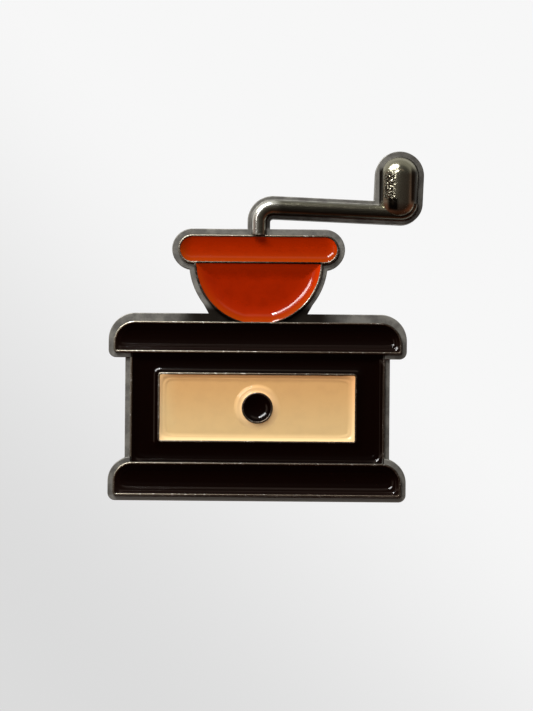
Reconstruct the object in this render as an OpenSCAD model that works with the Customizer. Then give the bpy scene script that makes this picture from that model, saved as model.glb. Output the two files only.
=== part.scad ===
// Enamel pin in the shape of a box coffee mill, with two posts and two spring clutches.
// Millimetres. Upright as worn: +Z up, the face looks along -Y, the back lies in the plane Y = 0.
// The origin is on the back face, midway between the posts.

/* [Mill body] */
// width over the borders of top board and plinth
body_width = 27.12; // [20:0.02:40]
// width over the borders of the case
case_width = 24.1; // [21:0.05:26]
// height of the plinth's enamel cell
plinth_height = 2.62; // [2.2:0.02:5]
// height of the case's enamel cell
case_height = 9.94; // [8:0.02:14]
// height of the top board's enamel cell
board_height = 2.42; // [2.2:0.02:5]
// rounded upper corners of the plinth's cell
plinth_corner = 1.55; // [0.8:0.05:2]
// rounded upper corners of the top board's cell
board_corner = 1.75; // [0.8:0.05:2]
// width of the drawer's enamel cell, in the middle of the case
drawer_width = 17.7; // [12:0.1:20]
// height of the drawer's enamel cell
drawer_height = 5.95; // [4.5:0.05:7]
// diameter of the enamel dot on the drawer's knob
knob_dot = 2.44; // [2:0.02:3.4]

/* [Hopper] */
// length of the rim's enamel cell, over its round ends
rim_length = 14.2; // [12:0.1:20]
// height of the rim's enamel cell
rim_height = 2.2; // [1.8:0.05:3]
// radius of the bowl's enamel cell, struck from the lower edge of the rim
bowl_radius = 5.63; // [5:0.01:6]
// from the top board's cell up to the rim's cell
bowl_depth = 5.7; // [4:0.05:7]

/* [Crank] */
// width of the flat flange under the arm
arm_width = 2.05; // [1.6:0.05:2.4]
// width of the round ridge along the arm
ridge_width = 1.25; // [0.8:0.05:1.4]
// from the rim's cell up to the centre of the elbow
crank_rise = 1.45; // [1:0.05:3]
// radius of the elbow, on the middle of the arm
elbow_radius = 1.3; // [1.25:0.05:2]
// from the elbow to the middle of the grip
arm_length = 11.3; // [9:0.1:14]
// fall of the arm to the right, in degrees
arm_slope = 2.25; // [0:0.05:8]
// width of the flange under the grip
grip_width = 4.42; // [3.5:0.02:5.5]
// height of the flange under the grip
grip_height = 6.65; // [5.5:0.05:9]
// rounded foot of the grip's flange
grip_corner = 1.95; // [0.8:0.05:2]
// flange left showing round the grip
grip_margin = 0.46; // [0.3:0.02:0.7]
// how far the grip swells out of its flange
grip_relief = 1.2; // [0.8:0.05:1.4]
// from the lower edge of the arm up to the grip
grip_foot = 0.45; // [0.4:0.05:1.5]
// rounded foot of the grip
grip_heel = 1.5; // [0.5:0.05:1.6]
// radius of the ridge's turn up into the grip, on its middle
turn_radius = 0.9; // [0.7:0.05:1]

/* [Relief] */
// from an enamel cell to the outer edge
border = 0.68; // [0.5:0.02:1]
// extra border above the top board
crest = 0.28; // [0:0.02:0.4]
// from the rim's cell to its outer edge
rim_border = 0.76; // [0.5:0.02:1]
// width of the plate where the bowl stands on the top board
waist_width = 9; // [8:0.1:10]
// how far above the top board the plate widens for it
waist_rise = 1.3; // [0.8:0.05:1.6]
// width of the raised line round each cell
line_width = 0.22; // [0.16:0.02:0.4]
// height of the raised lines above the flange
line_height = 0.3; // [0.24:0.02:0.5]
// thickness at the flange of boards, hopper and crank
board_level = 1.4; // [1.3:0.05:2]
// thickness at the flange of the case
case_level = 1.15; // [1:0.05:1.25]
// floor of the cells below the flange
cell_depth = 0.4; // [0.3:0.05:0.6]
// middle of the enamel above the flange, or below it where negative
fill_middle = -0.02; // [-0.1:0.01:0.08]
// how far the enamel climbs at the lines
fill_climb = 0.28; // [0.1:0.01:0.3]
// how far from a line the enamel starts to climb
meniscus_width = 0.7; // [0.3:0.05:0.8]

/* [Posts] */
// diameter of a post
post_diameter = 1.2; // [1:0.05:1.4]
// from the back face to the point
post_length = 8.5; // [8:0.1:10]
// from post to post
post_spacing = 12.4; // [11.9:0.1:16]
// posts above the lower edge of the pin
post_line = 11; // [8:0.1:13]
// length of a post's point
point_length = 1.6; // [1:0.1:2]
// radius at the tip of a point
point_tip = 0.1; // [0.05:0.01:0.2]
// depth of the groove round a post
groove_depth = 0.12; // [0.05:0.01:0.2]
// length of the groove
groove_length = 0.5; // [0.4:0.05:0.8]
// from the groove to the start of the point
groove_back = 1.5; // [1:0.05:2]
// diameter of the seat that a post stands in
seat_diameter = 3; // [2.8:0.1:4]
// depth of the seat
seat_depth = 0.25; // [0.2:0.01:0.3]
// height to which the solder climbs a post
fillet_height = 0.55; // [0.3:0.05:0.7]
// flat edge of the solder's curve
fillet_ledge = 0.06; // [0.02:0.01:0.1]

/* [Clutches] */
// free space for cloth between the back face and a clutch
cloth_gap = 2.6; // [2.3:0.1:3]
// diameter of a clutch
cup_diameter = 11.2; // [10.8:0.1:11.6]
// thickness of the sheet metal
sheet = 0.3; // [0.24:0.02:0.32]
// diameter of the hole for the post
cup_hole = 1.5; // [1.4:0.05:1.8]
// width of the flare round the hole
hole_flare = 0.4; // [0.2:0.05:0.8]
// centre of the rolled rim above the cup's outer face
roll_height = 2.4; // [2.35:0.05:3]
// radius of the rolled rim, on the middle of the sheet
roll_radius = 0.38; // [0.3:0.02:0.5]
// rounded corner of the cup
cup_corner = 0.7; // [0.5:0.05:0.9]

/* [Wings] */
// pivot of a wing from the post's axis
pivot_out = 3.8; // [3.5:0.05:3.9]
// pivot of a wing above the cup's outer face
pivot_up = 1.72; // [1.7:0.02:1.8]
// radius of the loop round the pivot, on the middle of the sheet
loop_radius = 0.32; // [0.28:0.01:0.34]
// width of a wing's foot
foot_width = 5.6; // [4:0.1:5.8]
// width of a jaw
jaw_width = 3.2; // [2.4:0.1:3.6]
// lean of a wing toward the post at rest, in degrees
wing_lean = 4; // [3:0.5:5]
// free space between the jaws and the post
jaw_clearance = 0.04; // [0.03:0.01:0.08]
// free space between the two jaws
jaw_gap = 0.3; // [0.2:0.05:0.5]
// length of the leg from the loop to the bend
leg_length = 0.9; // [0.6:0.05:1.1]
// radius of the bend, on the middle of the sheet
bend_radius = 0.5; // [0.4:0.05:0.7]
// straight part of a wing
wing_rise = 1.2; // [0.8:0.1:2]
// radius of a wing's outward curve
flare_radius = 4.5; // [3.5:0.1:6]
// how far a wing's curve turns outward, in degrees
flare_turn = 36; // [20:1:45]
// width of a wing
wing_width = 7.2; // [6:0.1:7.6]
// rounded corners of a wing
wing_corner = 1.2; // [0.8:0.05:1.3]

/* [Hidden] */
$fn = 96;
// steps of the enamel's climb, and facets of its corners
dish_steps = 4;
dish_facets = 40;
// steps of the crank's curves
arc_steps = 24;
thin = 0.002;
clear = 1;
span = 60;
// the ridge's straight parts enter its elbow, and are a hair slimmer
ridge_entry = 0.1;
ridge_step = 0.03;
// the waist's upper points lie this far inside the bowl's border
waist_tuck = 0.05;
// largest rounded foot of the grip for its size
heel_share = 0.85;

// Heights of the cells above the lower edge
plinth_foot = border;
case_foot = plinth_foot + plinth_height + line_width;
board_foot = case_foot + case_height + line_width;
board_top = board_foot + board_height;
drawer_middle = case_foot + case_height / 2;
rim_foot = board_top + bowl_depth;
rim_middle = rim_foot + rim_height / 2;
rim_top = rim_foot + rim_height;
elbow_middle = rim_top + crank_rise;

metal_colour = [0.36, 0.35, 0.34];
red_colour = [0.62, 0.13, 0.02];
brown_colour = [0.1, 0.05, 0.04];
cream_colour = [0.84, 0.67, 0.44];
nickel_colour = [0.78, 0.77, 0.74];
solder_colour = [0.62, 0.62, 0.6];

// Places a drawing, seen from the front, so that it grows from the back face toward the viewer.
module from_back() {
    translate([0, 0, -post_line]) rotate([90, 0, 0]) children();
}

// Block with rounded upper corners, and rounded lower ones where they are asked for.
module block(width, foot, top, upper, lower) {
    half = width / 2;
    translate([-half, foot + lower]) square([width, top - upper - foot - lower]);
    translate([-half + upper, foot + lower]) square([width - 2 * upper, top - foot - lower]);
    intersection() {
        for (side = [-1, 1]) translate([side * (half - upper), top - upper]) circle(upper);
        translate([-half, top - upper]) square([width, upper]);
    }
    if (lower > 0) {
        translate([-half + lower, foot]) square([width - 2 * lower, top - upper - foot]);
        for (side = [-1, 1]) translate([side * (half - lower), foot + lower]) circle(lower);
    }
}

// Outlines of the cells: each one can be drawn larger or smaller all round.
module plinth_shape(grow) {
    width = body_width - 2 * border + 2 * grow;
    block(width, plinth_foot - grow, plinth_foot + plinth_height + grow, plinth_corner + grow, max(grow, 0));
}

module board_shape(grow, above = 0) {
    width = body_width - 2 * border + 2 * grow;
    block(width, board_foot - grow, board_top + grow + above, board_corner + grow, max(grow, 0));
}

module case_shape(grow) {
    width = case_width - 2 * border + 2 * grow;
    translate([-width / 2, case_foot - grow]) square([width, case_height + 2 * grow]);
}

module drawer_shape(grow) {
    translate([0, drawer_middle]) square([drawer_width + 2 * grow, drawer_height + 2 * grow], center = true);
}

module knob_shape(grow) {
    translate([0, drawer_middle]) circle(knob_dot / 2 + grow);
}

module rim_shape(grow) {
    reach = (rim_length - rim_height) / 2;
    translate([0, rim_middle]) {
        square([2 * reach, rim_height + 2 * grow], center = true);
        for (side = [-1, 1]) translate([side * reach, 0]) circle(rim_height / 2 + grow);
    }
}

module bowl_shape(grow) {
    floor_line = board_top + line_width - grow;
    top_line = rim_foot - line_width + grow;
    intersection() {
        translate([0, rim_foot]) circle(bowl_radius + grow);
        translate([-span / 2, floor_line]) square([span, top_line - floor_line]);
    }
}

module cell_shape(name, grow) {
    if (name == "plinth") plinth_shape(grow);
    if (name == "board") board_shape(grow);
    if (name == "case") case_shape(grow);
    if (name == "drawer") drawer_shape(grow);
    if (name == "knob") knob_shape(grow);
    if (name == "rim") rim_shape(grow);
    if (name == "bowl") bowl_shape(grow);
}

// A cell less the line round the cell that lies inside it.
module cell_region(name, inner) {
    difference() {
        cell_shape(name, 0);
        if (inner != "") cell_shape(inner, line_width);
    }
}

// Points on the crank: an arc, and places given along and across the arm.
function arc(middle, radius, from, to) =
    [for (step = [0 : arc_steps]) let (angle = from + (to - from) * step / arc_steps)
        middle + radius * [cos(angle), sin(angle)]];
function on_arm(place) = [
    elbow_radius + place[0] * cos(arm_slope) + (place[1] + elbow_radius) * sin(arm_slope),
    elbow_middle - place[0] * sin(arm_slope) + (place[1] + elbow_radius) * cos(arm_slope),
];

// Flat flange of upright, elbow, arm and grip, as one outline.
module crank_flange() {
    half = arm_width / 2;
    elbow = [elbow_radius, elbow_middle];
    grip_left = arm_length - grip_width / 2;
    grip_right = arm_length + grip_width / 2;
    crown = grip_height - half - grip_width / 2;
    heel = [grip_right - grip_corner, grip_corner - half];
    polygon(concat(
        [[half, rim_top], [-half, rim_top]],
        arc(elbow, elbow_radius + half, 180, 90 - arm_slope),
        [on_arm([grip_left, half])],
        [for (place = arc([arm_length, crown], grip_width / 2, 180, 0)) on_arm(place)],
        [for (place = arc(heel, grip_corner, 0, -90)) on_arm(place)],
        arc(elbow, elbow_radius - half, 90 - arm_slope, 180)
    ));
}

module arm_frame() {
    translate([elbow_radius, elbow_middle, 0]) rotate(-arm_slope) translate([0, elbow_radius, 0]) children();
}

// Round ridge along the middle of the crank, which turns up into the grip.
module crank_ridge() {
    slim = ridge_width - ridge_step;
    foot = rim_top + line_width / 2;
    turn = arm_length + (grip_width - ridge_width) / 2 - grip_margin - turn_radius;
    translate([0, foot, 0]) rotate([-90, 0, 0]) cylinder(d = slim, h = elbow_middle + ridge_entry - foot);
    translate([elbow_radius, elbow_middle, 0]) rotate(90 - arm_slope) rotate_extrude(angle = 90 + arm_slope)
        translate([elbow_radius, 0]) circle(d = ridge_width);
    arm_frame() {
        translate([-ridge_entry, 0, 0]) rotate([0, 90, 0]) cylinder(d = slim, h = turn + 2 * ridge_entry);
        translate([turn, turn_radius, 0]) rotate(-90) rotate_extrude(angle = 90)
            translate([turn_radius, 0]) circle(d = ridge_width);
    }
}

// The grip swells out of its flange as part of a turned knob.
module grip_swell() {
    half = grip_width / 2 - grip_margin;
    swell = (half * half + grip_relief * grip_relief) / (2 * grip_relief);
    heel = min(grip_heel, heel_share * swell);
    foot = grip_foot - arm_width / 2;
    crown = grip_height - arm_width / 2 - grip_margin - half;
    arm_frame() translate([arm_length, 0, 0]) intersection() {
        translate([0, 0, grip_relief - swell]) rotate([-90, 0, 0]) rotate_extrude() intersection() {
            union() {
                translate([0, crown]) circle(swell);
                translate([0, foot + heel]) square([swell, crown - foot - heel]);
                translate([0, foot]) square([swell - heel, crown - foot]);
                translate([swell - heel, foot + heel]) circle(heel);
            }
            translate([0, -span / 2]) square(span);
        }
        translate([-span / 2, -span / 2, -board_level / 2]) cube([span, span, span]);
    }
}

// Widened foot of the bowl, up to a point just inside its round border.
module waist_shape() {
    half = waist_width / 2;
    foot = board_top + border + crest;
    rise = foot + waist_rise;
    reach = sqrt(pow(bowl_radius + border, 2) - pow(rim_foot - rise, 2)) - waist_tuck;
    polygon([[-half, board_top], [half, board_top], [half, foot], [reach, rise], [-reach, rise], [-half, foot]]);
}

module flange_shape() {
    plinth_shape(border);
    board_shape(border, crest);
    rim_shape(rim_border);
    intersection() {
        translate([0, rim_foot]) circle(bowl_radius + border);
        translate([-span / 2, board_top]) square([span, bowl_depth]);
    }
    waist_shape();
    crank_flange();
}

module sunk_cell(name, level, inner = "") {
    translate([0, 0, level - cell_depth]) linear_extrude(cell_depth + line_height + clear) cell_region(name, inner);
}

module plate_blank() {
    linear_extrude(case_level) case_shape(border);
    linear_extrude(case_level + line_height) case_shape(line_width);
    linear_extrude(board_level) flange_shape();
    linear_extrude(board_level + line_height) {
        plinth_shape(line_width);
        board_shape(line_width);
        rim_shape(line_width);
        bowl_shape(line_width);
    }
    translate([0, 0, board_level]) {
        crank_ridge();
        grip_swell();
    }
}

module base_plate() {
    color(metal_colour) difference() {
        from_back() difference() {
            plate_blank();
            sunk_cell("plinth", board_level);
            sunk_cell("board", board_level);
            sunk_cell("rim", board_level);
            sunk_cell("bowl", board_level);
            sunk_cell("case", case_level, "drawer");
            sunk_cell("drawer", case_level, "knob");
            sunk_cell("knob", case_level);
        }
        for (side = [-1, 1]) translate([side * post_spacing / 2, -seat_depth, 0]) rotate([-90, 0, 0])
            cylinder(d = seat_diameter, h = seat_depth + clear);
    }
}

// How far in from a line each step of the enamel's climb lies, and how high it is there
function dish_inset(step) = meniscus_width * (1 - step / dish_steps) - thin;
function dish_height(step) = fill_climb * pow(step / dish_steps, 2);

module dish_slice(name, step, grow, thickness = thin) {
    translate([0, 0, dish_height(step)]) linear_extrude(thickness) cell_shape(name, grow, $fn = dish_facets);
}

// Hollow above the enamel, which climbs toward the lines round it.
module dish(name, inner) {
    difference() {
        hull() {
            for (step = [0 : dish_steps - 1]) dish_slice(name, step, -dish_inset(step));
            dish_slice(name, dish_steps, -dish_inset(dish_steps), clear);
        }
        if (inner != "") for (step = [0 : dish_steps - 1]) hull() {
            translate([0, 0, -thin]) dish_slice(inner, step, line_width + dish_inset(step));
            dish_slice(inner, step + 1, line_width + dish_inset(step + 1));
        }
    }
}

module enamel(name, level, inner = "") {
    from_back() translate([0, 0, level - cell_depth]) difference() {
        linear_extrude(cell_depth + fill_middle + fill_climb) cell_region(name, inner);
        translate([0, 0, cell_depth + fill_middle]) dish(name, inner);
    }
}

module hopper_rim_enamel() {
    color(red_colour) enamel("rim", board_level);
}

module hopper_bowl_enamel() {
    color(red_colour) enamel("bowl", board_level);
}

module top_board_enamel() {
    color(brown_colour) enamel("board", board_level);
}

module case_frame_enamel() {
    color(brown_colour) enamel("case", case_level, "drawer");
}

module drawer_front_enamel() {
    color(cream_colour) enamel("drawer", case_level, "knob");
}

module drawer_knob_enamel() {
    color(brown_colour) enamel("knob", case_level);
}

module plinth_enamel() {
    color(brown_colour) enamel("plinth", board_level);
}

// Places a turned piece on a post's axis, with its height along +Y.
module on_post(side, out = 0) {
    translate([side * post_spacing / 2, out, 0]) rotate([-90, 0, 0]) children();
}

module post(side) {
    radius = post_diameter / 2;
    shoulder = post_length - point_length;
    groove_middle = shoulder - groove_back - groove_length / 2;
    groove_radius = groove_depth / 2 + pow(groove_length, 2) / (8 * groove_depth);
    on_post(side) rotate_extrude() difference() {
        polygon([
            [0, -seat_depth],
            [radius, -seat_depth],
            [radius, shoulder],
            [point_tip, post_length],
            [0, post_length],
        ]);
        translate([radius - groove_depth + groove_radius, groove_middle]) circle(groove_radius);
    }
}

module left_post() {
    color(nickel_colour) post(-1);
}

module right_post() {
    color(nickel_colour) post(1);
}

// Solder fills the seat and climbs the post in a hollow curve.
module solder(side) {
    inner = post_diameter / 2;
    outer = seat_diameter / 2;
    on_post(side) rotate_extrude() {
        translate([inner, -seat_depth]) square([outer - inner, seat_depth]);
        difference() {
            translate([inner, 0]) square(fillet_height);
            translate([inner + fillet_height + fillet_ledge, fillet_height + fillet_ledge]) circle(fillet_height);
        }
    }
}

module left_solder() {
    color(solder_colour) solder(-1);
}

module right_solder() {
    color(solder_colour) solder(1);
}

// Ring of sheet metal in section, of which only one square or rectangle is kept.
module sheet_ring(middle, radius, corner, size) {
    translate(middle) intersection() {
        difference() {
            circle(radius + sheet / 2);
            circle(radius - sheet / 2);
        }
        translate(corner) square(size);
    }
}

// Section of the cup: floor with a flared hole, wall, and a rim rolled inward.
module cup_section() {
    outer = cup_diameter / 2;
    hole = cup_hole / 2;
    roll = roll_radius + sheet / 2;
    polygon([[hole + hole_flare, 0], [outer - cup_corner, 0], [outer - cup_corner, sheet], [hole, sheet]]);
    sheet_ring([outer - cup_corner, cup_corner], cup_corner - sheet / 2, [0, -cup_corner], [cup_corner, cup_corner]);
    translate([outer - sheet, cup_corner]) square([sheet, roll_height - cup_corner]);
    sheet_ring([outer - roll, roll_height], roll_radius, [-roll, 0], [2 * roll, roll]);
}

module clutch_cup(side) {
    on_post(side, cloth_gap) rotate_extrude() cup_section();
}

module left_clutch_cup() {
    color(nickel_colour) clutch_cup(-1);
}

module right_clutch_cup() {
    color(nickel_colour) clutch_cup(1);
}

// Section of a wing, drawn from its pivot: jaw, loop under the rolled rim, leg, bend, wing and outward flare.
module wing_section() {
    half = sheet / 2;
    wing_out = -leg_length - bend_radius;
    bend_up = loop_radius + bend_radius;
    flare_up = bend_up + wing_rise;
    reach = flare_radius + half;
    translate([-pivot_out, -loop_radius - half]) square([pivot_out, sheet]);
    sheet_ring([0, 0], loop_radius, [0, -clear], [clear, 2 * clear]);
    translate([-leg_length, loop_radius - half]) square([leg_length, sheet]);
    sheet_ring([-leg_length, bend_up], bend_radius, [-clear, -clear], [clear, clear]);
    translate([wing_out - half, bend_up]) square([sheet, wing_rise]);
    translate([wing_out + flare_radius, flare_up]) intersection() {
        difference() {
            circle(reach);
            circle(flare_radius - half);
        }
        polygon([[0, 0], [-span, 0], [-span, span * tan(flare_turn)]]);
    }
}

// Outline of a wing seen from outside: a narrow foot, then the wing with rounded corners.
module wing_outline() {
    shoulder = loop_radius + sheet;
    top = loop_radius + bend_radius + wing_rise + flare_radius * sin(flare_turn);
    half = wing_width / 2;
    translate([-foot_width / 2, -clear]) square([foot_width, top - wing_corner + clear]);
    translate([-half, shoulder + wing_corner]) square([wing_width, top - 2 * wing_corner - shoulder]);
    translate([-half + wing_corner, shoulder]) square([wing_width - 2 * wing_corner, top - shoulder]);
    for (side = [-1, 1]) translate([side * (half - wing_corner), 0]) {
        translate([0, top - wing_corner]) circle(wing_corner);
        translate([0, shoulder + wing_corner]) circle(wing_corner);
    }
}

// A wing in its own frame: bends along X, the pivot at the origin, cut to its outline.
module wing_blank() {
    difference() {
        intersection() {
            rotate([0, -90, 0]) linear_extrude(wing_width, center = true) wing_section();
            translate([0, 0, -span / 2]) linear_extrude(span) wing_outline();
        }
        for (side = [-1, 1]) translate([side * (jaw_width + span) / 2 - span / 2, -span, -span])
            cube([span, span, span - 2 * loop_radius]);
    }
}

module wing(side, up) {
    post_room = post_diameter / 2 + jaw_clearance;
    translate([side * post_spacing / 2, cloth_gap, 0]) mirror([0, 0, up > 0 ? 0 : 1]) difference() {
        translate([0, pivot_up, pivot_out]) rotate([-wing_lean, 0, 0]) wing_blank();
        rotate([-90, 0, 0]) cylinder(r = post_room, h = pivot_up);
        translate([-span / 2, 0, -clear]) cube([span, pivot_up, clear + jaw_gap / 2]);
    }
}

module left_clutch_upper_wing() {
    color(nickel_colour) wing(-1, 1);
}

module left_clutch_lower_wing() {
    color(nickel_colour) wing(-1, -1);
}

module right_clutch_upper_wing() {
    color(nickel_colour) wing(1, 1);
}

module right_clutch_lower_wing() {
    color(nickel_colour) wing(1, -1);
}

base_plate();
hopper_rim_enamel();
hopper_bowl_enamel();
top_board_enamel();
case_frame_enamel();
drawer_front_enamel();
drawer_knob_enamel();
plinth_enamel();
left_post();
right_post();
left_solder();
right_solder();
left_clutch_cup();
left_clutch_upper_wing();
left_clutch_lower_wing();
right_clutch_cup();
right_clutch_upper_wing();
right_clutch_lower_wing();
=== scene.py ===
"""Dresses an enamel pin in the shape of a box coffee mill around its packed frame.

Pieces are drawn in millimetres and placed in metres. The pin is drawn lying on its back:
X to the right, Y up the mill, Z from the back face toward the viewer.
"""

import math
from types import SimpleNamespace

import bmesh
import bpy
from bmesh.types import BMEdge, BMFace, BMVert
from bpy.props import FloatProperty, FloatVectorProperty, PointerProperty
from mathutils import Matrix, Quaternion, Vector


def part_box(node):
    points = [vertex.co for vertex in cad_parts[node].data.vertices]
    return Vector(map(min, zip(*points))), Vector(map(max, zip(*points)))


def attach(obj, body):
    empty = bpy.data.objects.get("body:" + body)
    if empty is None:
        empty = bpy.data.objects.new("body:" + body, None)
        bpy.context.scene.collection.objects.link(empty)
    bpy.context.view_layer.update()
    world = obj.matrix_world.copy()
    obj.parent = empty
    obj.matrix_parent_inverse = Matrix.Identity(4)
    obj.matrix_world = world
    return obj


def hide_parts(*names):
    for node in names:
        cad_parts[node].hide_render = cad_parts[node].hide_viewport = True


bl_info = {
    "name": "Coffee mill enamel pin",
    "version": (1, 0, 0),
    "blender": (4, 5, 0),
    "location": "View3D > Sidebar > Enamel pin",
    "description": "Builds the plate, enamels, posts and clutches of an enamel pin around its frame",
    "category": "Object",
}

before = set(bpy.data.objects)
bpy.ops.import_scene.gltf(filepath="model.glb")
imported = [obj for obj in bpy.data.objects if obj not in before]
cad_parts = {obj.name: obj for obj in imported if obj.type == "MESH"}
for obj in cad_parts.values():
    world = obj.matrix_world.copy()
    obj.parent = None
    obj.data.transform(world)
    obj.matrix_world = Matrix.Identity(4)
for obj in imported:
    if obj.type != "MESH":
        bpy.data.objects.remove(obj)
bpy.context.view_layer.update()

MILLIMETRE = 0.001
# from the drawing to the frame: the pin stands up, and a turned piece points along +Y
STAND_UP = Matrix.Rotation(math.radians(90), 4, "X")
LAY_BACK = Matrix.Rotation(math.radians(-90), 4, "X")
TO_METRES = Matrix.Scale(MILLIMETRE, 4)
# length of the straight pieces that make up an arc, and the fewest of them
ARC_PIECE = 0.11
ARC_LEAST = 4
# points of an outline nearer than this are one point
SAME_POINT = 0.004
# a side that a step inward has shortened to less than this is closed
CLOSED_SIDE = 0.001
# a rounding takes this share of its run, so that two that meet never cross
ROUND_SHARE = 0.9996
# steps of turned pieces, of the plate's edges and raised lines, and of the enamel's climb
TURNED_STEPS = 72
EDGE_STEPS = 5
BEAD_STEPS = 10
MENISCUS_STEPS = 12
# outer radius of the crank's turns, which gives the number of their steps
CRANK_TURN = 2.0
# steps along a wing: its notch, loop, bend, straight part and flare
NOTCH_STEPS = 12
LOOP_STEPS = 12
BEND_STEPS = 10
RISE_STEPS = 12
FLARE_STEPS = 44
# steps of the sheet's cut edges and of the backdrop's curve
SHEET_EDGE_STEPS = 3
SWEEP_STEPS = 24
# how often and how far the enamel's slopes are smoothed round the corners of a cell
CORNER_PASSES = 12
CORNER_BLEND = 0.5
# edges that bend more than these stay sharp, or are rounded as cut edges of sheet metal
SHARP_ANGLE = math.radians(38)
CUT_ANGLE = math.radians(50)


def length(name, description, millimetres):
    """A length in metres, written in millimetres."""
    return FloatProperty(
        name=name,
        description=description,
        default=millimetres * MILLIMETRE,
        precision=5,
        subtype="DISTANCE",
        unit="LENGTH",
    )


def turn(name, description, degrees):
    """An angle in radians, written in degrees."""
    return FloatProperty(
        name=name,
        description=description,
        default=math.radians(degrees),
        subtype="ANGLE",
        unit="ROTATION",
    )


def number(name, description, value):
    """A plain number."""
    return FloatProperty(name=name, description=description, default=value)


def linear(level):
    """A screen level from 0 to 255 as linear light."""
    part = level / 255
    return part / 12.92 if part <= 0.04045 else ((part + 0.055) / 1.055) ** 2.4


def tone(name, description, *parts):
    """A colour written in linear light."""
    return FloatVectorProperty(
        name=name, description=description, default=parts, min=0, max=1, size=3, subtype="COLOR"
    )


def colour(name, description, *levels):
    """A colour in linear light, written in screen levels from 0 to 255."""
    return tone(name, description, *(linear(level) for level in levels))


def lengths(name, description, *millimetres):
    """Several lengths in metres, written in millimetres."""
    return FloatVectorProperty(
        name=name,
        description=description,
        default=[part * MILLIMETRE for part in millimetres],
        size=len(millimetres),
        precision=5,
        subtype="XYZ_LENGTH",
        unit="LENGTH",
    )


class PlateSizes(bpy.types.PropertyGroup):
    """The struck plate with its flange and raised lines."""

    border: length("Border", "From a cell to the outer edge", 0.68)
    crest: length("Crest", "Extra border above the top board", 0.28)
    rim_border: length("Rim border", "From the rim's cell to its outer edge", 0.76)
    waist_width: length("Waist width", "Width of the plate where the bowl stands on the top board", 9)
    waist_rise: length("Waist rise", "How far above the top board the plate widens for it", 1.3)
    line_width: length("Line width", "Width of the raised line round each cell", 0.22)
    line_height: length("Line height", "Height of the raised lines above the flange", 0.3)
    cell_depth: length("Cell depth", "Floor of the cells below the flange", 0.4)
    floor_thickness: length("Floor thickness", "Metal under a cell's floor in its own lining", 0.12)
    plinth_corner: length("Plinth corner", "Rounded upper corners of the plinth's cell", 1.55)
    board_corner: length("Board corner", "Rounded upper corners of the top board's cell", 1.75)
    line_corner: length("Line corner", "Outer rounding of the lines at square corners", 0.3)
    front_edge: length("Front edge", "Rounding of the flange's front edge", 0.07)
    back_edge: length("Back edge", "Rounding of the edge of the back face", 0.08)
    seat_diameter: length("Seat diameter", "Seat in the back face that a post stands in", 3.0)
    seat_depth: length("Seat depth", "Depth of a post's seat", 0.25)


class CrankSizes(bpy.types.PropertyGroup):
    """The crank above the hopper."""

    arm_width: length("Arm width", "Width of the flat flange under the arm", 2.05)
    ridge_width: length("Ridge width", "Width of the round ridge along the arm", 1.25)
    ridge_round: length("Ridge rounding", "Rounding of the ridge's top", 0.5)
    ridge_fillet: length("Ridge fillet", "Hollow rounding at the foot of the ridge", 0.11)
    ridge_root: length("Ridge root", "How deep the ridge is rooted in its flange", 0.4)
    rise: length("Rise", "From the rim's cell up to the centre of the elbow", 1.45)
    elbow_radius: length("Elbow radius", "Radius of the elbow on the middle of the arm", 1.3)
    arm_length: length("Arm length", "From the elbow to the middle of the grip", 11.3)
    arm_slope: turn("Arm slope", "Fall of the arm to the right", 2.25)
    grip_width: length("Grip width", "Width of the flange under the grip", 4.42)
    grip_height: length("Grip height", "Height of the flange under the grip", 6.65)
    grip_corner: length("Grip corner", "Rounded foot of the grip's flange", 1.95)
    grip_margin: length("Grip margin", "Flange left showing round the grip", 0.46)
    grip_relief: length("Grip relief", "How far the grip swells out of its flange", 1.2)
    grip_foot: length("Grip foot", "From the lower edge of the arm up to the grip", 0.45)
    grip_heel: length("Grip heel", "Rounded foot of the grip", 1.5)
    turn_radius: length("Turn radius", "Radius of the ridge's turn up into the grip", 0.9)
    notch: length("Notch", "Hollow corner between arm and grip", 0.08)


class EnamelSizes(bpy.types.PropertyGroup):
    """The enamel in the cells."""

    edge: length("Edge", "Height of the enamel at the lines above the flange", 0.27)
    reach: length("Reach", "How far from a line the enamel starts to climb where there is room", 1.6)
    room: number("Room", "Largest part of a cell's width that the climb at one side takes", 0.46)
    steepness: number("Steepness", "Slope of the enamel where it meets the lines", 0.5)
    tuck: length("Tuck", "How far the enamel enters the lines", 0.06)
    corner_run: length("Corner run", "How far from a corner the enamel's two slopes blend", 0.4)


class PostSizes(bpy.types.PropertyGroup):
    """A post and its solder."""

    groove_depth: length("Groove depth", "Depth of the groove round a post", 0.12)
    groove_length: length("Groove length", "Length of the groove", 0.5)
    groove_back: length("Groove back", "From the groove to the start of the point", 1.5)
    groove_edge: length("Groove edge", "Rounding of the groove's edges", 0.05)
    groove_hollow: length("Groove hollow", "Rounding in the middle of the groove", 0.3)
    point_length: length("Point length", "Length of a post's point", 1.6)
    point_tip: length("Point tip", "Radius at the tip of a point", 0.1)
    tip_round: length("Tip rounding", "Rounding at the tip of a point", 0.08)
    shoulder_round: length("Shoulder rounding", "Rounding where the point starts", 0.9)
    fillet_height: length("Fillet height", "Height to which the solder climbs a post", 0.55)
    fillet_ledge: length("Fillet ledge", "Flat edge of the solder's curve", 0.06)
    fillet_curve: length("Fillet curve", "Hollow rounding of the solder's climb", 0.33)
    fillet_foot: length("Fillet foot", "Rounding where the climb starts", 0.05)
    fillet_lip: length("Fillet lip", "Rounding at the top of the climb", 0.02)
    solder_proud: length("Solder proud", "How far the solder stands out of its seat", 0.004)
    solder_edge: length("Solder edge", "Rounding of the solder's outer edge", 0.03)


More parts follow.
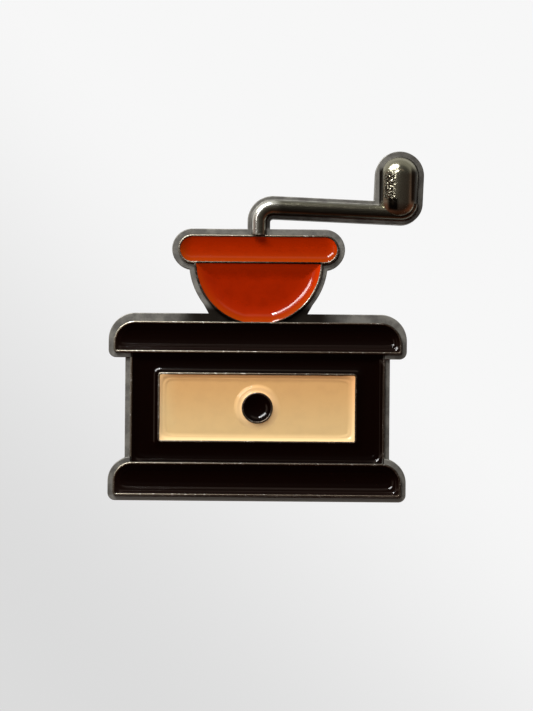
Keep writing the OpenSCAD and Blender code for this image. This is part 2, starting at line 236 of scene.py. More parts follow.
class ClutchSizes(bpy.types.PropertyGroup):
    """A spring clutch: a cup and two pinched wings."""

    sheet: length("Sheet", "Thickness of the sheet metal", 0.3)
    sheet_edge: length("Sheet edge", "Rounding of the sheet's cut edges", 0.07)
    hole: length("Hole", "Diameter of the hole for the post", 1.5)
    hole_flare: length("Hole flare", "Width of the flare round the hole", 0.35)
    flare_drop: length("Flare drop", "How far the flare rises into the cup", 0.1)
    flare_edge: length("Flare edge", "Flat edge of the flare round the hole", 0.16)
    flare_round: length("Flare rounding", "Roundings of the flare on the middle of the sheet", 0.35)
    corner: length("Corner", "Rounded corner of the cup", 0.7)
    roll_height: length("Roll height", "Centre of the rolled rim above the cup's face", 2.4)
    roll_radius: length("Roll radius", "Radius of the rolled rim on the middle of the sheet", 0.38)
    bead_out: length("Bead out", "Radius of the ring pressed into the cup's face", 3.5)
    bead_run: length("Bead run", "Half width of the pressed ring and its roundings", 0.5)
    bead_height: length("Bead height", "Height of the pressed ring", 0.12)
    pivot_out: length("Pivot out", "Pivot of a wing from the post's axis", 3.8)
    pivot_up: length("Pivot up", "Pivot of a wing above the cup's face", 1.72)
    loop_radius: length("Loop radius", "Radius of the loop round the pivot", 0.32)
    foot_width: length("Foot width", "Width of a wing's foot", 5.6)
    jaw_width: length("Jaw width", "Width of a jaw", 3.2)
    jaw_gap: length("Jaw gap", "Free space between the two jaws", 0.3)
    post_room: length("Post room", "Radius of the notch for the post", 0.64)
    wing_lean: turn("Wing lean", "Lean of a wing toward the post at rest", 4)
    leg_length: length("Leg length", "From the loop to the bend", 0.9)
    bend_radius: length("Bend radius", "Radius of the bend on the middle of the sheet", 0.5)
    wing_rise: length("Wing rise", "Straight part of a wing", 1.2)
    flare_radius: length("Flare radius", "Radius of a wing's outward curve", 4.5)
    flare_turn: turn("Flare turn", "How far a wing's curve turns outward", 34.6)
    wing_width: length("Wing width", "Width of a wing", 7.2)
    wing_corner: length("Wing corner", "Rounded corners of a wing", 1.2)


class PinColours(bpy.types.PropertyGroup):
    """The colours of metals and enamels."""

    # Black nickel in the hollows, and the colour of the painted shade and painted dark reflections on the
    # plate.
    nickel_black: colour("Black nickel", "Black nickel in the hollows", 30, 25, 20)
    nickel_dark: colour("Dark nickel", "Black nickel on the flange", 112, 110, 105)
    # Also the painted light on the flange below the plinth and beside the grip.
    nickel_light: colour("Light nickel", "Black nickel where it is paler", 144, 142, 135)
    nickel_rubbed: colour("Rubbed nickel", "Black nickel on the crank", 158, 154, 134)
    # Painted highlight: pale nickel laid on the outer side of the crank's elbow and in glints along the
    # raised lines.
    nickel_highlight: colour("Bright nickel", "Black nickel worn off the crank's elbow", 226, 224, 214)
    # The raised lines are painted lighter on the left and darker on the right, as light and shade.
    line_left: colour("Left lines", "Raised lines on the left", 140, 133, 118)
    line_right: colour("Right lines", "Raised lines on the right", 80, 70, 60)
    red: colour("Red enamel", "The hopper", 155, 32, 0)
    # The two further tones of each enamel are painted light and shade at its edges: one under the upper
    # lines, one where it runs up the lower lines.
    red_deep: colour("Deep red enamel", "The hopper under its upper lines", 196, 48, 0)
    red_pale: colour("Pale red enamel", "The hopper where it runs up its lower lines", 152, 52, 0)
    brown: colour("Brown enamel", "Boards, case and knob", 8, 2, 1)
    brown_deep: colour("Deep brown enamel", "Boards and case under their upper lines", 5, 1, 1)
    brown_pale: colour("Pale brown enamel", "Boards and case at their lower lines", 20, 10, 7)
    cream: colour("Cream enamel", "The drawer", 187, 155, 95)
    cream_deep: colour("Deep cream enamel", "The drawer under its upper line", 238, 179, 120)
    cream_pale: colour("Pale cream enamel", "The drawer at its lower line", 250, 214, 158)
    post: colour("Post steel", "The posts", 188, 186, 180)
    solder: colour("Solder", "The solder round the posts", 150, 151, 150)
    clutch: colour("Clutch nickel", "The cups", 196, 193, 184)
    wing: colour("Wing nickel", "The wings", 206, 203, 195)


class StageSettings(bpy.types.PropertyGroup):
    """Light, background and camera."""

    lens: length("Lens", "Focal length", 85)
    sensor: length("Sensor", "Height of the sensor", 36)
    distance: length("Distance", "From the camera to the back face", 154)
    aim_x: length("Aim across", "Where the camera looks, to the right of the posts' middle", 0.8)
    aim_z: length("Aim up", "Where the camera looks, above the posts", 2.27)
    roll: turn("Roll", "Turn of the camera about its line of sight", -0.5)
    near: length("Near", "Nearest thing that the camera shows", 5)
    key_power: number("Key power", "Watts of the lamp overhead", 3.4)
    key_place: lengths("Key place", "Place of the lamp overhead", -199, -211, 344)
    key_size: lengths("Key size", "Size of the lamp overhead", 300, 120)
    strip_power: number("Strip power", "Watts of the long lamp on the left", 0.36)
    strip_place: lengths("Strip place", "Place of the long lamp", -145, -377, 176)
    strip_size: lengths("Strip size", "Size of the long lamp", 200, 42)
    bulb_power: number("Bulb power", "Watts of the small bulb above the camera", 0.05)
    bulb_place: lengths("Bulb place", "Place of the small bulb", -60, -386, 224)
    bulb_size: lengths("Bulb size", "Size of the small bulb", 12, 12)
    sweep_half: length("Half width", "Half the width of the backdrop", 700)
    floor_edge: length("Floor edge", "From the back face to the front edge of the floor", 10)
    floor_level: length("Floor level", "Height of the floor from the line of the posts", -160)
    floor_run: length("Floor run", "From the front edge of the floor to its curve", 360)
    sweep_radius: length("Sweep radius", "Radius of the curve from floor to wall", 150)
    wall: length("Wall", "Height of the wall above the curve", 900)
    paper_shade: tone("Shaded paper", "The backdrop at its lower left", 0.71, 0.71, 0.71)
    paper_light: tone("Light paper", "The backdrop at its upper right", 0.93, 0.93, 0.93)
    paper_far: tone("Far paper", "What the camera sees past the backdrop", 0.85, 0.85, 0.85)
    room_above: tone("Room above", "Light from the room's ceiling", 0.42, 0.42, 0.39)
    room_below: tone("Room below", "Light from the room's floor", 0.22, 0.075, 0.04)
    room_ring: tone("Room ring", "Light from a ring round the camera", 0.4, 0.31, 0.25)


def drawn(group):
    """A group's values for drawing: lengths in millimetres, the rest as they are."""
    values = {}
    for name in group.__annotations__:
        value = getattr(group, name)
        is_length = group.bl_rna.properties[name].unit == "LENGTH"
        values[name] = value / MILLIMETRE if is_length else value
    return SimpleNamespace(**values)


class Socket:
    """A node's output, with the operators that shader maths needs."""

    def __init__(self, nodes, socket):
        self.nodes = nodes
        self.socket = socket

    def maths(self, operation, first, second):
        return self.nodes.add("ShaderNodeMath", {"operation": operation}, {0: first, 1: second})

    def __add__(self, other):
        return self.maths("ADD", self, other)

    def __radd__(self, other):
        return self.maths("ADD", other, self)

    def __sub__(self, other):
        return self.maths("SUBTRACT", self, other)

    def __rsub__(self, other):
        return self.maths("SUBTRACT", other, self)

    def __mul__(self, other):
        return self.maths("MULTIPLY", self, other)

    def __rmul__(self, other):
        return self.maths("MULTIPLY", other, self)

    def __gt__(self, other):
        return self.maths("GREATER_THAN", self, other)

    def __lt__(self, other):
        return self.maths("LESS_THAN", self, other)


class Nodes:
    """A node tree that is written one node at a time."""

    def __init__(self, tree):
        self.tree = tree
        tree.nodes.clear()

    def add(self, kind, settings, inputs, output=0):
        """Adds a node with its settings, then the values or links of its sockets."""
        node = self.tree.nodes.new(kind)
        for name, value in settings.items():
            setattr(node, name, value)
        for name, value in inputs.items():
            if isinstance(value, Socket):
                self.tree.links.new(value.socket, node.inputs[name])
            else:
                node.inputs[name].default_value = value
        return Socket(self, node.outputs[output]) if node.outputs else None

    def space(self, scale=(1, 1, 1), rotation=(0, 0, 0)):
        """Object coordinates in millimetres, stretched and turned."""
        place = self.add("ShaderNodeTexCoord", {}, {}, "Object")
        size = [part / MILLIMETRE for part in scale]
        return self.add("ShaderNodeMapping", {}, {"Vector": place, "Scale": size, "Rotation": rotation})

    def axes(self, space):
        """The three parts of a place or a direction."""
        return [self.add("ShaderNodeSeparateXYZ", {}, {"Vector": space}, axis) for axis in "XYZ"]

    def distance(self, across, up):
        """How far a place is from where both of its parts are 0."""
        place = self.add("ShaderNodeCombineXYZ", {}, {"X": across, "Y": up})
        return self.add("ShaderNodeVectorMath", {"operation": "LENGTH"}, {0: place}, "Value")

    def rays(self):
        """What the camera sees straight, and what it sees in metal or through glass."""
        kinds = ("Is Camera Ray", "Is Glossy Ray", "Is Transmission Ray")
        seen, mirrored, through = (self.add("ShaderNodeLightPath", {}, {}, kind) for kind in kinds)
        return seen, mirrored + through

    def noise(self, space, scale, detail=2.0, roughness=0.5):
        """Soft noise between 0 and 1."""
        return self.add(
            "ShaderNodeTexNoise",
            {},
            {"Vector": space, "Scale": scale, "Detail": detail, "Roughness": roughness},
        )

    def ramp(self, value, start, end, low=0.0, high=1.0):
        """Low up to start, high from end, and a smooth passage between them."""
        return self.add(
            "ShaderNodeMapRange",
            {"interpolation_type": "SMOOTHSTEP"},
            {"Value": value, "From Min": start, "From Max": end, "To Min": low, "To Max": high},
        )

    def band(self, value, start, end, in_run, out_run):
        """High between start and end, with a smooth passage inside each of them."""
        return self.ramp(value, start, start + in_run) * self.ramp(value, end, end - out_run)

    def mix(self, factor, first, second):
        """Passes from the first colour to the second."""
        pair = {0: factor, 6: opaque(first), 7: opaque(second)}
        return self.add("ShaderNodeMix", {"data_type": "RGBA"}, pair, 2)

    def bump(self, height, strength, distance):
        """A bump that is distance millimetres high for each 1 of height."""
        return self.add(
            "ShaderNodeBump",
            {},
            {"Height": height, "Strength": strength, "Distance": distance * MILLIMETRE},
        )

    def surface(self, **inputs):
        """Ends the tree with a principled surface. Names have _ for each space."""
        named = {name.replace("_", " "): value for name, value in inputs.items()}
        shader = self.add("ShaderNodeBsdfPrincipled", {}, named)
        self.add("ShaderNodeOutputMaterial", {}, {"Surface": shader})


def opaque(value):
    """A colour with its alpha, or a socket as it is."""
    return value if isinstance(value, Socket) else (*value, 1)


def dimmed(tint, part):
    """A colour with a part of its light."""
    return [level * part for level in tint]


def new_material(name):
    material = bpy.data.materials.new(name)
    material.use_nodes = True
    return material, Nodes(material.node_tree)


def crank_places(nodes, across, up, plate, rim, path):
    """Where the crank, its grip and its elbow are, and distances on them in millimetres.

    Into and below start at the left side of the grip and at its shoulder. Past starts at the centre of
    the elbow, and out at the middle line of the arm.
    """
    sizes = path.crank
    foot = rim.top + plate.line_width
    grip_left, _ = path.on_arm(sizes.arm_length - sizes.grip_width / 2, 0)
    crown = sizes.grip_height - (sizes.arm_width + sizes.grip_width) / 2
    _, shoulder = path.on_arm(sizes.arm_length, crown)
    crank = nodes.ramp(up, foot, foot + 0.2)
    into = across - grip_left
    past = across - path.elbow.x
    over = up - path.elbow.y + past * math.tan(sizes.arm_slope)
    leftward = nodes.add("ShaderNodeMath", {"operation": "MINIMUM"}, {0: past, 1: 0.0})
    upward = nodes.add("ShaderNodeMath", {"operation": "MAXIMUM"}, {0: over, 1: 0.0})
    return SimpleNamespace(
        crank=crank,
        grip=crank * nodes.ramp(into, -0.3, 0.7),
        elbow=nodes.ramp(past, 0.9, -0.1),
        into=into,
        below=shoulder - up,
        past=past,
        out=nodes.distance(leftward, upward) - sizes.elbow_radius,
    )


def grip_painted_shade(nodes, on, raised, height):
    """Painted shade and painted dark reflections on the grip: down its flanks, under its middle, round its
    heel, over its dome and on the shaded side of its flange.
    """
    # painted dark reflections down the flanks and under the middle; painted shade over the dome, round the
    # heel and on the flange's shaded side
    flanks = nodes.band(on.into, 0.42, 0.9, 0.13, 0.15) + nodes.band(on.into, 3.2, 3.98, 0.2, 0.13)
    flanks = flanks * nodes.band(on.below, -1.0, 2.8, 0.8, 0.6)
    top = nodes.ramp(on.below, -0.4, -1.0) * nodes.band(height, 0.03, 0.8, 0.07, 0.5)
    patch = nodes.band(on.into, 1.1, 2.25, 0.3, 0.3) * nodes.band(on.below, 2.0, 3.35, 0.3, 0.3)
    heel = nodes.ramp(on.into, 3.4, 3.8) * nodes.ramp(on.below, 2.2, 2.7)
    heel = raised * (nodes.ramp(on.below, 3.1, 3.5) + heel)
    shaded = nodes.ramp(on.into, 2.4, 4.0) * (1 - raised)
    return on.grip * (flanks + top * 0.2 + patch + heel * 0.75 + shaded * 0.3)


def black_nickel(colours, plate, cells, path):
    """Dark plating on a struck plate: black in the hollows, rubbed on what stands proud, blasted behind.
    Painted shade, painted dark reflections, painted light and painted highlights are laid into its colour.

    Height is measured from the front of the flange, in millimetres as all lengths here.
    """
    material, nodes = new_material("black_nickel")
    space = nodes.space()
    across, depth, up = nodes.axes(space)
    board, bowl, case, plinth, rim = (cells[name] for name in ("board", "bowl", "case", "plinth", "rim"))
    in_case = nodes.band(up, plinth.top + plate.border, board.foot - plate.border, 0.02, 0.02)
    height = in_case * (board.level - case.level) - depth - board.level
    raised = nodes.ramp(height, 0.2, 0.28)
    front = nodes.ramp(height, -0.15, -0.05)
    back = nodes.ramp(depth, -0.08, -0.02)
    side = nodes.add("ShaderNodeMath", {"operation": "ABSOLUTE"}, {0: across})
    on = crank_places(nodes, across, up, plate, rim, path)
    on_arm = raised * (on.crank - on.grip)

    # marks of striking, blasting and wear, and the spots of the painted glints on the raised lines
    patches = nodes.noise(space, 0.9, 5, 0.65)
    blast = nodes.noise(space, 5.5, 4, 0.65) * 0.6 + 0.2
    grain = nodes.noise(space, 13, 3, 0.6)
    streaks = nodes.noise(nodes.space((0.5, 7, 7)), 1, 3)
    specks = nodes.add("ShaderNodeTexVoronoi", {}, {"Vector": space, "Scale": 5.0}, "Distance")
    speckled = on.grip * nodes.band(on.into, 0.75, 2.0, 0.25, 0.4) * nodes.band(on.below, -0.5, 2.4, 0.6, 0.5)
    pits = nodes.ramp(nodes.noise(space, 4.2, 2, 0.55), 0.58, 0.7)
    # spots where the raised lines are painted pale as glints
    painted_glints = nodes.ramp(nodes.noise(space, 2.4, 4, 0.7), 0.55, 0.64)

    # painted shade and painted dark reflections, with the dark plating left in hollows
    # dark plating left in hollows, with painted shade, on the foot and flanks of the raised lines
    hollow = nodes.band(height, 0.01, 0.24, 0.04, 0.08) * (1 - on.crank * 0.75)
    # painted shade on the flange beside the bowl's foot on the top board
    waist = nodes.band(up, board.top + 0.2, board.top + 2.1, 0.04, 0.9) * nodes.ramp(side, 8.4, 5.6)
    # painted shade along the line between rim and bowl
    divider = (up > bowl.top) * (up < rim.foot) * (side < bowl.right)
    # streaky dark plating along the arm, thinned on the elbow so that its painted highlight shows, and
    # painted shade on the inner half of the crank's ridge
    worn = (0.4 + streaks * 0.4) * (1 - on.elbow * 0.8) + nodes.ramp(on.out, 0.2, -0.1) * 0.2
    rim_edge = rim.top + plate.rim_border
    # painted shade on the flange above the rim, darker under the arm near the elbow
    ledge = nodes.ramp(up, rim_edge, rim_edge + 0.2) * (1 - raised)
    under = nodes.ramp(on.out, -0.5, -0.65) * nodes.ramp(on.past, 7.0, 2.0)
    # painted shade and painted dark reflections on the grip, with dark pits in its speckled zone
    grip = grip_painted_shade(nodes, on, raised, height) + speckled * nodes.ramp(specks, 0.2, 0.5) * 0.85
    # all that is painted dark: dark plating, streaks, painted shade and painted dark reflections
    film = hollow + on_arm * worn + front * (waist + divider * 0.8 + grip + ledge * (0.15 + under * 0.5))

    # the metal under the painted shade: flange, raised lines and crank, with painted light and painted
    # highlights
    # painted light: the flange below the plinth and on the left of the grip is painted paler
    foot = nodes.ramp(up, plinth.foot - 0.15, plinth.foot - 0.25)
    painted_light = front * (foot + on.grip * nodes.ramp(on.into, 1.2, 0.4))
    mottle = nodes.ramp(patches + (blast - patches) * back, 0.35, 0.65)
    flange = nodes.mix(mottle + painted_light, colours.nickel_dark, colours.nickel_light)
    # painted light and shade on the raised lines: lighter to the upper left and darker to the right, but
    # lighter on the bowl's right side
    round_bowl = nodes.band(up, board.top + 0.2, bowl.top, 0.3, 0.3)
    dull = nodes.ramp(across - up * 0.6, -14, 4)
    dull = dull + (nodes.ramp(across, 3, -3) - dull) * round_bowl
    lines = nodes.mix(dull, colours.line_left, colours.line_right)
    lines = nodes.mix(painted_glints * (0.65 - dull * 0.4), lines, colours.nickel_highlight)
    # painted highlight on the outer side of the elbow
    painted_elbow_highlight = on.elbow * nodes.ramp(on.out, -0.1, 0.25)
    crank = nodes.mix(painted_elbow_highlight, colours.nickel_rubbed, colours.nickel_highlight)
    polish = raised * on.crank
    metal = nodes.mix(polish, nodes.mix(raised, flange, lines), crank)

    relief = grain * (0.0016 + back * 0.004) - pits * 0.003
    relief = relief + (specks - 0.45) * (speckled * 0.06) + (streaks - 0.5) * (on_arm * 0.01)
    relief = relief + (blast - 0.5) * (raised * (1 - on.crank) * 0.05)
    nodes.surface(
        Base_Color=nodes.mix(film * 0.97, metal, colours.nickel_black),
        Metallic=1 - polish * 0.06,
        Roughness=0.52 + grain * 0.1 + patches * 0.06 - raised * (0.2 + on.crank * 0.22) + on_arm * 0.06,
        Normal=nodes.bump(relief, 1.0, 1.0),
    )
    return material


def enamel_paint(name, tints, cells, tuck, inner, line):
    """Poured enamel under a clear coat, with painted light and shade at its edges: a painted tone under the
    upper lines, and a paler painted tone where it runs up the lower lines and the left.

    Round an inner cell it is painted paler, and drawn up a little higher on the upper left.
    """
    body, painted_top_tone, pale = tints
    material, nodes = new_material(name)
    space = nodes.space()
    across, depth, up = nodes.axes(space)
    # painted light and shade at the cells' edges: low marks the lower part and left side of each cell, which
    # take the paler painted tone
    low = 0.0
    for cell in cells:
        here = (up > cell.foot - tuck) * (up < cell.top + tuck)
        left = nodes.ramp(across, cell.left + 1.8, cell.left)
        low = low + here * (nodes.ramp(up, cell.top - 0.3, cell.foot + 0.3) + left * 0.5)
    climb = nodes.ramp(depth, 0.1 - cells[0].level, -cells[0].rim)
    clouds = nodes.noise(space, 0.7, 5, 0.65)
    flecks = nodes.ramp(nodes.noise(space, 16, 1), 0.66, 0.76)
    relief = nodes.noise(space, 0.75, 1) * 0.005 + flecks * 0.0003
    clouded = nodes.mix(nodes.ramp(clouds, 0.4, 0.68), body, dimmed(body, 0.88))
    # the cell's edges take the painted top tone or the paler painted foot tone
    edge_painted = nodes.mix(climb, clouded, nodes.mix(low, painted_top_tone, pale))
    if inner:
        rightward = across - (inner.left + inner.right) / 2
        upward = up - (inner.foot + inner.top) / 2
        away = nodes.distance(rightward, upward)
        ring = (inner.right - inner.left) / 2 + line
        upper_left = nodes.ramp(upward - rightward, -0.9, 0.9)
        relief = relief + nodes.band(away, ring + 0.05, ring + 0.75, 0.35, 0.35) * upper_left * 0.06
        # painted light: the enamel is painted paler round the inner cell
        edge_painted = nodes.mix(nodes.ramp(away, ring + 0.8, ring + 0.3) * 0.3, edge_painted, pale)
    nodes.surface(
        Base_Color=nodes.mix(flecks * 0.2, edge_painted, painted_top_tone),
        Roughness=0.05 + clouds * 0.05,
        Specular_IOR_Level=0.4,
        Coat_Weight=0.2 + clouds * 0.2,
        Coat_Roughness=0.03,
        Normal=nodes.bump(relief, 1.0, 1.0),
    )
    return material


def post_steel(colours):
    """Drawn and turned wire with rings round it."""
    material, nodes = new_material("post_steel")
    rings = nodes.noise(nodes.space((0.6, 14, 0.6)), 1, 3)
    stains = nodes.noise(nodes.space(), 1.1, 3)
    nodes.surface(
        Base_Color=nodes.mix(nodes.ramp(stains, 0.35, 0.7), colours.post, dimmed(colours.post, 0.72)),
        Metallic=1.0,
        Roughness=0.2 + rings * 0.16,
        Normal=nodes.bump(rings, 0.3, 0.008),
    )
    return material


def solder_metal(colours):
    """Soft grey solder, mottled and a little lumpy."""
    material, nodes = new_material("solder")
    space = nodes.space()
    lumps = nodes.noise(space, 2.2, 2)
    mottle = nodes.noise(space, 7, 4, 0.65)
    nodes.surface(
        Base_Color=nodes.mix(nodes.ramp(mottle, 0.4, 0.68), colours.solder, dimmed(colours.solder, 0.6)),
        Metallic=0.9,
        Roughness=0.36 + mottle * 0.3,
        Normal=nodes.bump(lumps + mottle * 0.25, 0.6, 0.05),
    )
    return material


def pressed_nickel(name, tint, direction):
    """Plated sheet with rolling marks one way, fine scratches and a few dull spots."""
    material, nodes = new_material(name)
    space = nodes.space()
    rolled = nodes.noise(nodes.space(direction), 1, 3)
    scratches = nodes.ramp(nodes.noise(nodes.space((0.8, 17, 3), (0.5, 0.8, 0.6)), 1, 2), 0.63, 0.7)
    spots = nodes.ramp(nodes.noise(space, 1.4, 4, 0.6), 0.5, 0.72)
    nodes.surface(
        Base_Color=nodes.mix(spots * 0.4, tint, dimmed(tint, 0.7)),
        Metallic=1.0,
        Roughness=0.16 + rolled * 0.12 + spots * 0.12 + scratches * 0.1,
        Normal=nodes.bump(rolled * 0.5 - scratches * 0.4, 0.25, 0.008),
    )
    return material


def picked(parts, kind):
    """The points, edges or faces among the parts that an operator gives."""
    return [part for part in parts if isinstance(part, kind)]


def shift(shape, offset):
    """Moves a whole shape."""
    bmesh.ops.translate(shape, verts=shape.verts[:], vec=offset)


def face_outward(shape):
    """Points the faces of a shape outward."""
    bmesh.ops.recalc_face_normals(shape, faces=shape.faces[:])


def outline(corners):
    """One flat face through corners of (x, y, radius), rounded where the radius isn't 0."""
    shape = bmesh.new()
    points = [shape.verts.new((x, y, 0)) for x, y, _ in corners]
    shape.faces.new(points)
    for place, (x, y, radius) in enumerate(corners):
        if not radius:
            continue
        last = corners[place - 1]
        after = corners[(place + 1) % len(corners)]
        bend = Vector((x - last[0], y - last[1])).angle(Vector((after[0] - x, after[1] - y)))
        bmesh.ops.bevel(
            shape,
            geom=[points[place]],
            offset=radius * math.tan(bend / 2) * ROUND_SHARE,
            offset_type="OFFSET",
            affect="VERTICES",
            segments=max(ARC_LEAST, round(radius * bend / ARC_PIECE)),
            profile=0.5,
            material=-1,
            clamp_overlap=False,
        )
    bmesh.ops.remove_doubles(shape, verts=shape.verts[:], dist=SAME_POINT)
    shape.normal_update()
    return shape


def rounded_block(left, right, foot, top, upper, lower):
    """Corners of an upright rectangle with rounded upper and lower corners."""
    return [(left, foot, lower), (right, foot, lower), (right, top, upper), (left, top, upper)]


def only_face(shape):
    shape.faces.ensure_lookup_table()
    return shape.faces[0]


def extruded(shape, face, offset):
    """Extrudes a face by an offset and gives the face at the far end."""
    made = bmesh.ops.extrude_face_region(shape, geom=[face, *face.edges, *face.verts])["geom"]
    bmesh.ops.translate(shape, verts=picked(made, BMVert), vec=offset)
    return picked(made, BMFace)[0]


def prism(shape, foot, top):
    """Raises a flat face into a solid between two levels, and gives its top and its bottom face."""
    bottom = only_face(shape)
    shift(shape, (0, 0, foot))
    cap = extruded(shape, bottom, (0, 0, top - foot))
    face_outward(shape)
    return cap, bottom


def divided(shape, run):
    """Splits the long sides of an outline, so that shading blends only near its corners."""
    for edge in shape.edges[:]:
        cuts = int(edge.calc_length() / run)
        if cuts:
            bmesh.ops.bisect_edges(shape, edges=[edge], cuts=cuts)
    return shape


def half_turn(corner):
    """How much a step inward shortens a side at one of its corners."""
    shortening = math.tan((math.pi - corner.calc_angle()) / 2)
    return shortening if corner.is_convex else -shortening


def step_in(shape, face, steps):
    """Draws a face in and out along steps of (inward, upward), and merges each side that closes up."""
    for inward, upward in steps:
        left = 1.0
        while left > 0:
            part = left
            for corner in face.loops:
                taken = inward * (half_turn(corner) + half_turn(corner.link_loop_next))
                if taken * part > corner.edge.calc_length():
                    part = corner.edge.calc_length() / taken
            bmesh.ops.inset_individual(
                shape, faces=[face], thickness=inward * part, depth=upward * part, use_even_offset=True
            )
            bmesh.ops.remove_doubles(shape, verts=face.verts[:], dist=CLOSED_SIDE)
            left -= part


def arc_steps(radius, start, end, count):
    """Steps of (inward, upward) round an arc that starts out upright at angle 0."""
    angles = [start + (end - start) * step / count for step in range(count + 1)]
    return [
        (radius * (math.cos(a) - math.cos(b)), radius * (math.sin(b) - math.sin(a)))
        for a, b in zip(angles, angles[1:])
    ]


def meniscus_steps(reach, climb):
    """Steps of (inward, upward) from a line down to the level middle of the enamel."""
    ways = [reach * step / MENISCUS_STEPS for step in range(MENISCUS_STEPS + 1)]
    heights = [climb * (1 - way / reach) ** 2 for way in ways]
    return [
        (ways[step + 1] - ways[step], heights[step + 1] - heights[step]) for step in range(MENISCUS_STEPS)
    ]


def absorb(shape, others):
    """Moves other shapes into this one."""
    for other in others:
        carrier = bpy.data.meshes.new("carrier")
        other.to_mesh(carrier)
        other.free()
        shape.from_mesh(carrier)
        bpy.data.meshes.remove(carrier)
    return shape


def carved(solids, cutters):
    """Joins solids into one and cuts the cutters out of it."""
    helpers = []
    for shape in solids + cutters:
        helper = bpy.data.objects.new("helper", bpy.data.meshes.new("helper"))
        shape.to_mesh(helper.data)
        shape.free()
        bpy.context.scene.collection.objects.link(helper)
        helpers.append(helper)
    blank = helpers[0]
    for place, helper in enumerate(helpers[1:], 1):
        change = blank.modifiers.new("change", "BOOLEAN")
        change.object = helper
        change.operation = "UNION" if place < len(solids) else "DIFFERENCE"
        change.solver = "MANIFOLD"
    result = bmesh.new()
    result.from_object(blank, bpy.context.evaluated_depsgraph_get())
    for helper in helpers:
        mesh = helper.data
        bpy.data.objects.remove(helper)
        bpy.data.meshes.remove(mesh)
    bmesh.ops.remove_doubles(result, verts=result.verts[:], dist=SAME_POINT)
    return result


def turned(corners, angle=math.tau, ring=False):
    """Turns a section of (radius, height, rounding) about Z, and for a ring also its last side."""
    section = outline(corners)
    ends = (corners[-1], corners[0])
    last = [
        edge
        for edge in section.edges
        if all(min(math.dist(point.co.xy, end[:2]) for end in ends) < SAME_POINT for point in edge.verts)
    ]
    bmesh.ops.delete(section, geom=section.faces[:], context="FACES_ONLY")
    if not ring:
        bmesh.ops.delete(section, geom=last, context="EDGES")
    bmesh.ops.rotate(section, verts=section.verts[:], cent=(0, 0, 0), matrix=STAND_UP.to_3x3())
    full = angle == math.tau
    bmesh.ops.spin(
        section,
        geom=section.verts[:] + section.edges[:],
        cent=(0, 0, 0),
        axis=(0, 0, 1),
        angle=angle,
        steps=TURNED_STEPS if full else TURNED_STEPS // 2,
        use_merge=full,
    )
    bmesh.ops.remove_doubles(section, verts=section.verts[:], dist=SAME_POINT)
    face_outward(section)
    return section


def finished(name, shape, place, material, body, nodes):
    """Makes a piece of a drawn shape: placed, smoothed, riding on its body in place of its nodes."""
    if not shape.faces:
        raise RuntimeError(f"{name} came out empty")
    shape.transform(TO_METRES @ place)
    mesh = bpy.data.meshes.new(name)
    shape.to_mesh(mesh)
    shape.free()
    mesh.shade_smooth()
    mesh.set_sharp_from_angle(angle=SHARP_ANGLE)
    mesh.materials.append(material)
    piece = bpy.data.objects.new(name, mesh)
    bpy.context.scene.collection.objects.link(piece)
    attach(piece, body)
    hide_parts(*nodes)
    return piece


def even_normals(piece):
    """Keeps wide flat faces flat beside narrow roundings."""
    weighted = piece.modifiers.new("even_normals", "WEIGHTED_NORMAL")
    weighted.keep_sharp = True


def corners_of(node):
    """A node's lowest and highest corners in millimetres."""
    return [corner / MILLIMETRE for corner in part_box(node)]


def middle_of(node):
    """The middle of a node across the pin."""
    low, high = corners_of(node)
    return (low.x + high.x) / 2


class Cell:
    """The place of one enamel cell, read from its node."""

    def __init__(self, node, plate, enamel, upper=0.0, lower=0.0):
        low, high = corners_of(node)
        self.node = node
        self.left, self.right = low.x, high.x
        self.foot, self.top = low.z, high.z
        self.upper, self.lower = upper, lower
        self.square = not lower
        self.floor = -high.y
        self.level = self.floor + plate.cell_depth
        self.rim = self.level + enamel.edge

    def corners(self, grow, corner=0.0):
        """The cell's outline, larger all round by grow, with square corners rounded by corner."""
        return rounded_block(
            self.left - grow,
            self.right + grow,
            self.foot - grow,
            self.top + grow,
            self.upper + grow if self.upper else corner,
            self.lower + grow if self.lower else corner,
        )

    def outline(self, grow, corner=0.0):
        return outline(self.corners(grow, corner))


class BowlCell(Cell):
    """The half round cell under the hopper's rim."""

    def __init__(self, node, plate, enamel, middle):
        super().__init__(node, plate, enamel)
        self.middle = middle
        self.square = False
        self.radius = math.hypot(self.right, middle - self.top)

    def outline(self, grow, corner=0.0):
        shape = bmesh.new()
        radius = self.radius + grow
        count = round(math.tau * radius / ARC_PIECE)
        bmesh.ops.create_circle(shape, cap_ends=True, segments=count, radius=radius)
        shift(shape, (0, self.middle, 0))
        for height, side in ((self.top + grow, 1), (self.foot - grow, -1)):
            bmesh.ops.bisect_plane(
                shape,
                geom=shape.verts[:] + shape.edges[:] + shape.faces[:],
                plane_co=(0, height, 0),
                plane_no=(0, side, 0),
                clear_outer=True,
            )
        shape.normal_update()
        return shape


def mill_cells(plate, enamel):
    """Every cell by name."""
    rim_low, rim_high = corners_of("hopper_rim_enamel")
    rim_round = (rim_high.z - rim_low.z) / 2
    knob_low, knob_high = corners_of("drawer_knob_enamel")
    knob_round = (knob_high.z - knob_low.z) / 2
    return {
        "plinth": Cell("plinth_enamel", plate, enamel, plate.plinth_corner),
        "board": Cell("top_board_enamel", plate, enamel, plate.board_corner),
        "case": Cell("case_frame_enamel", plate, enamel),
        "drawer": Cell("drawer_front_enamel", plate, enamel),
        "knob": Cell("drawer_knob_enamel", plate, enamel, knob_round, knob_round),
        "rim": Cell("hopper_rim_enamel", plate, enamel, rim_round, rim_round),
        "bowl": BowlCell("hopper_bowl_enamel", plate, enamel, rim_low.z),
    }


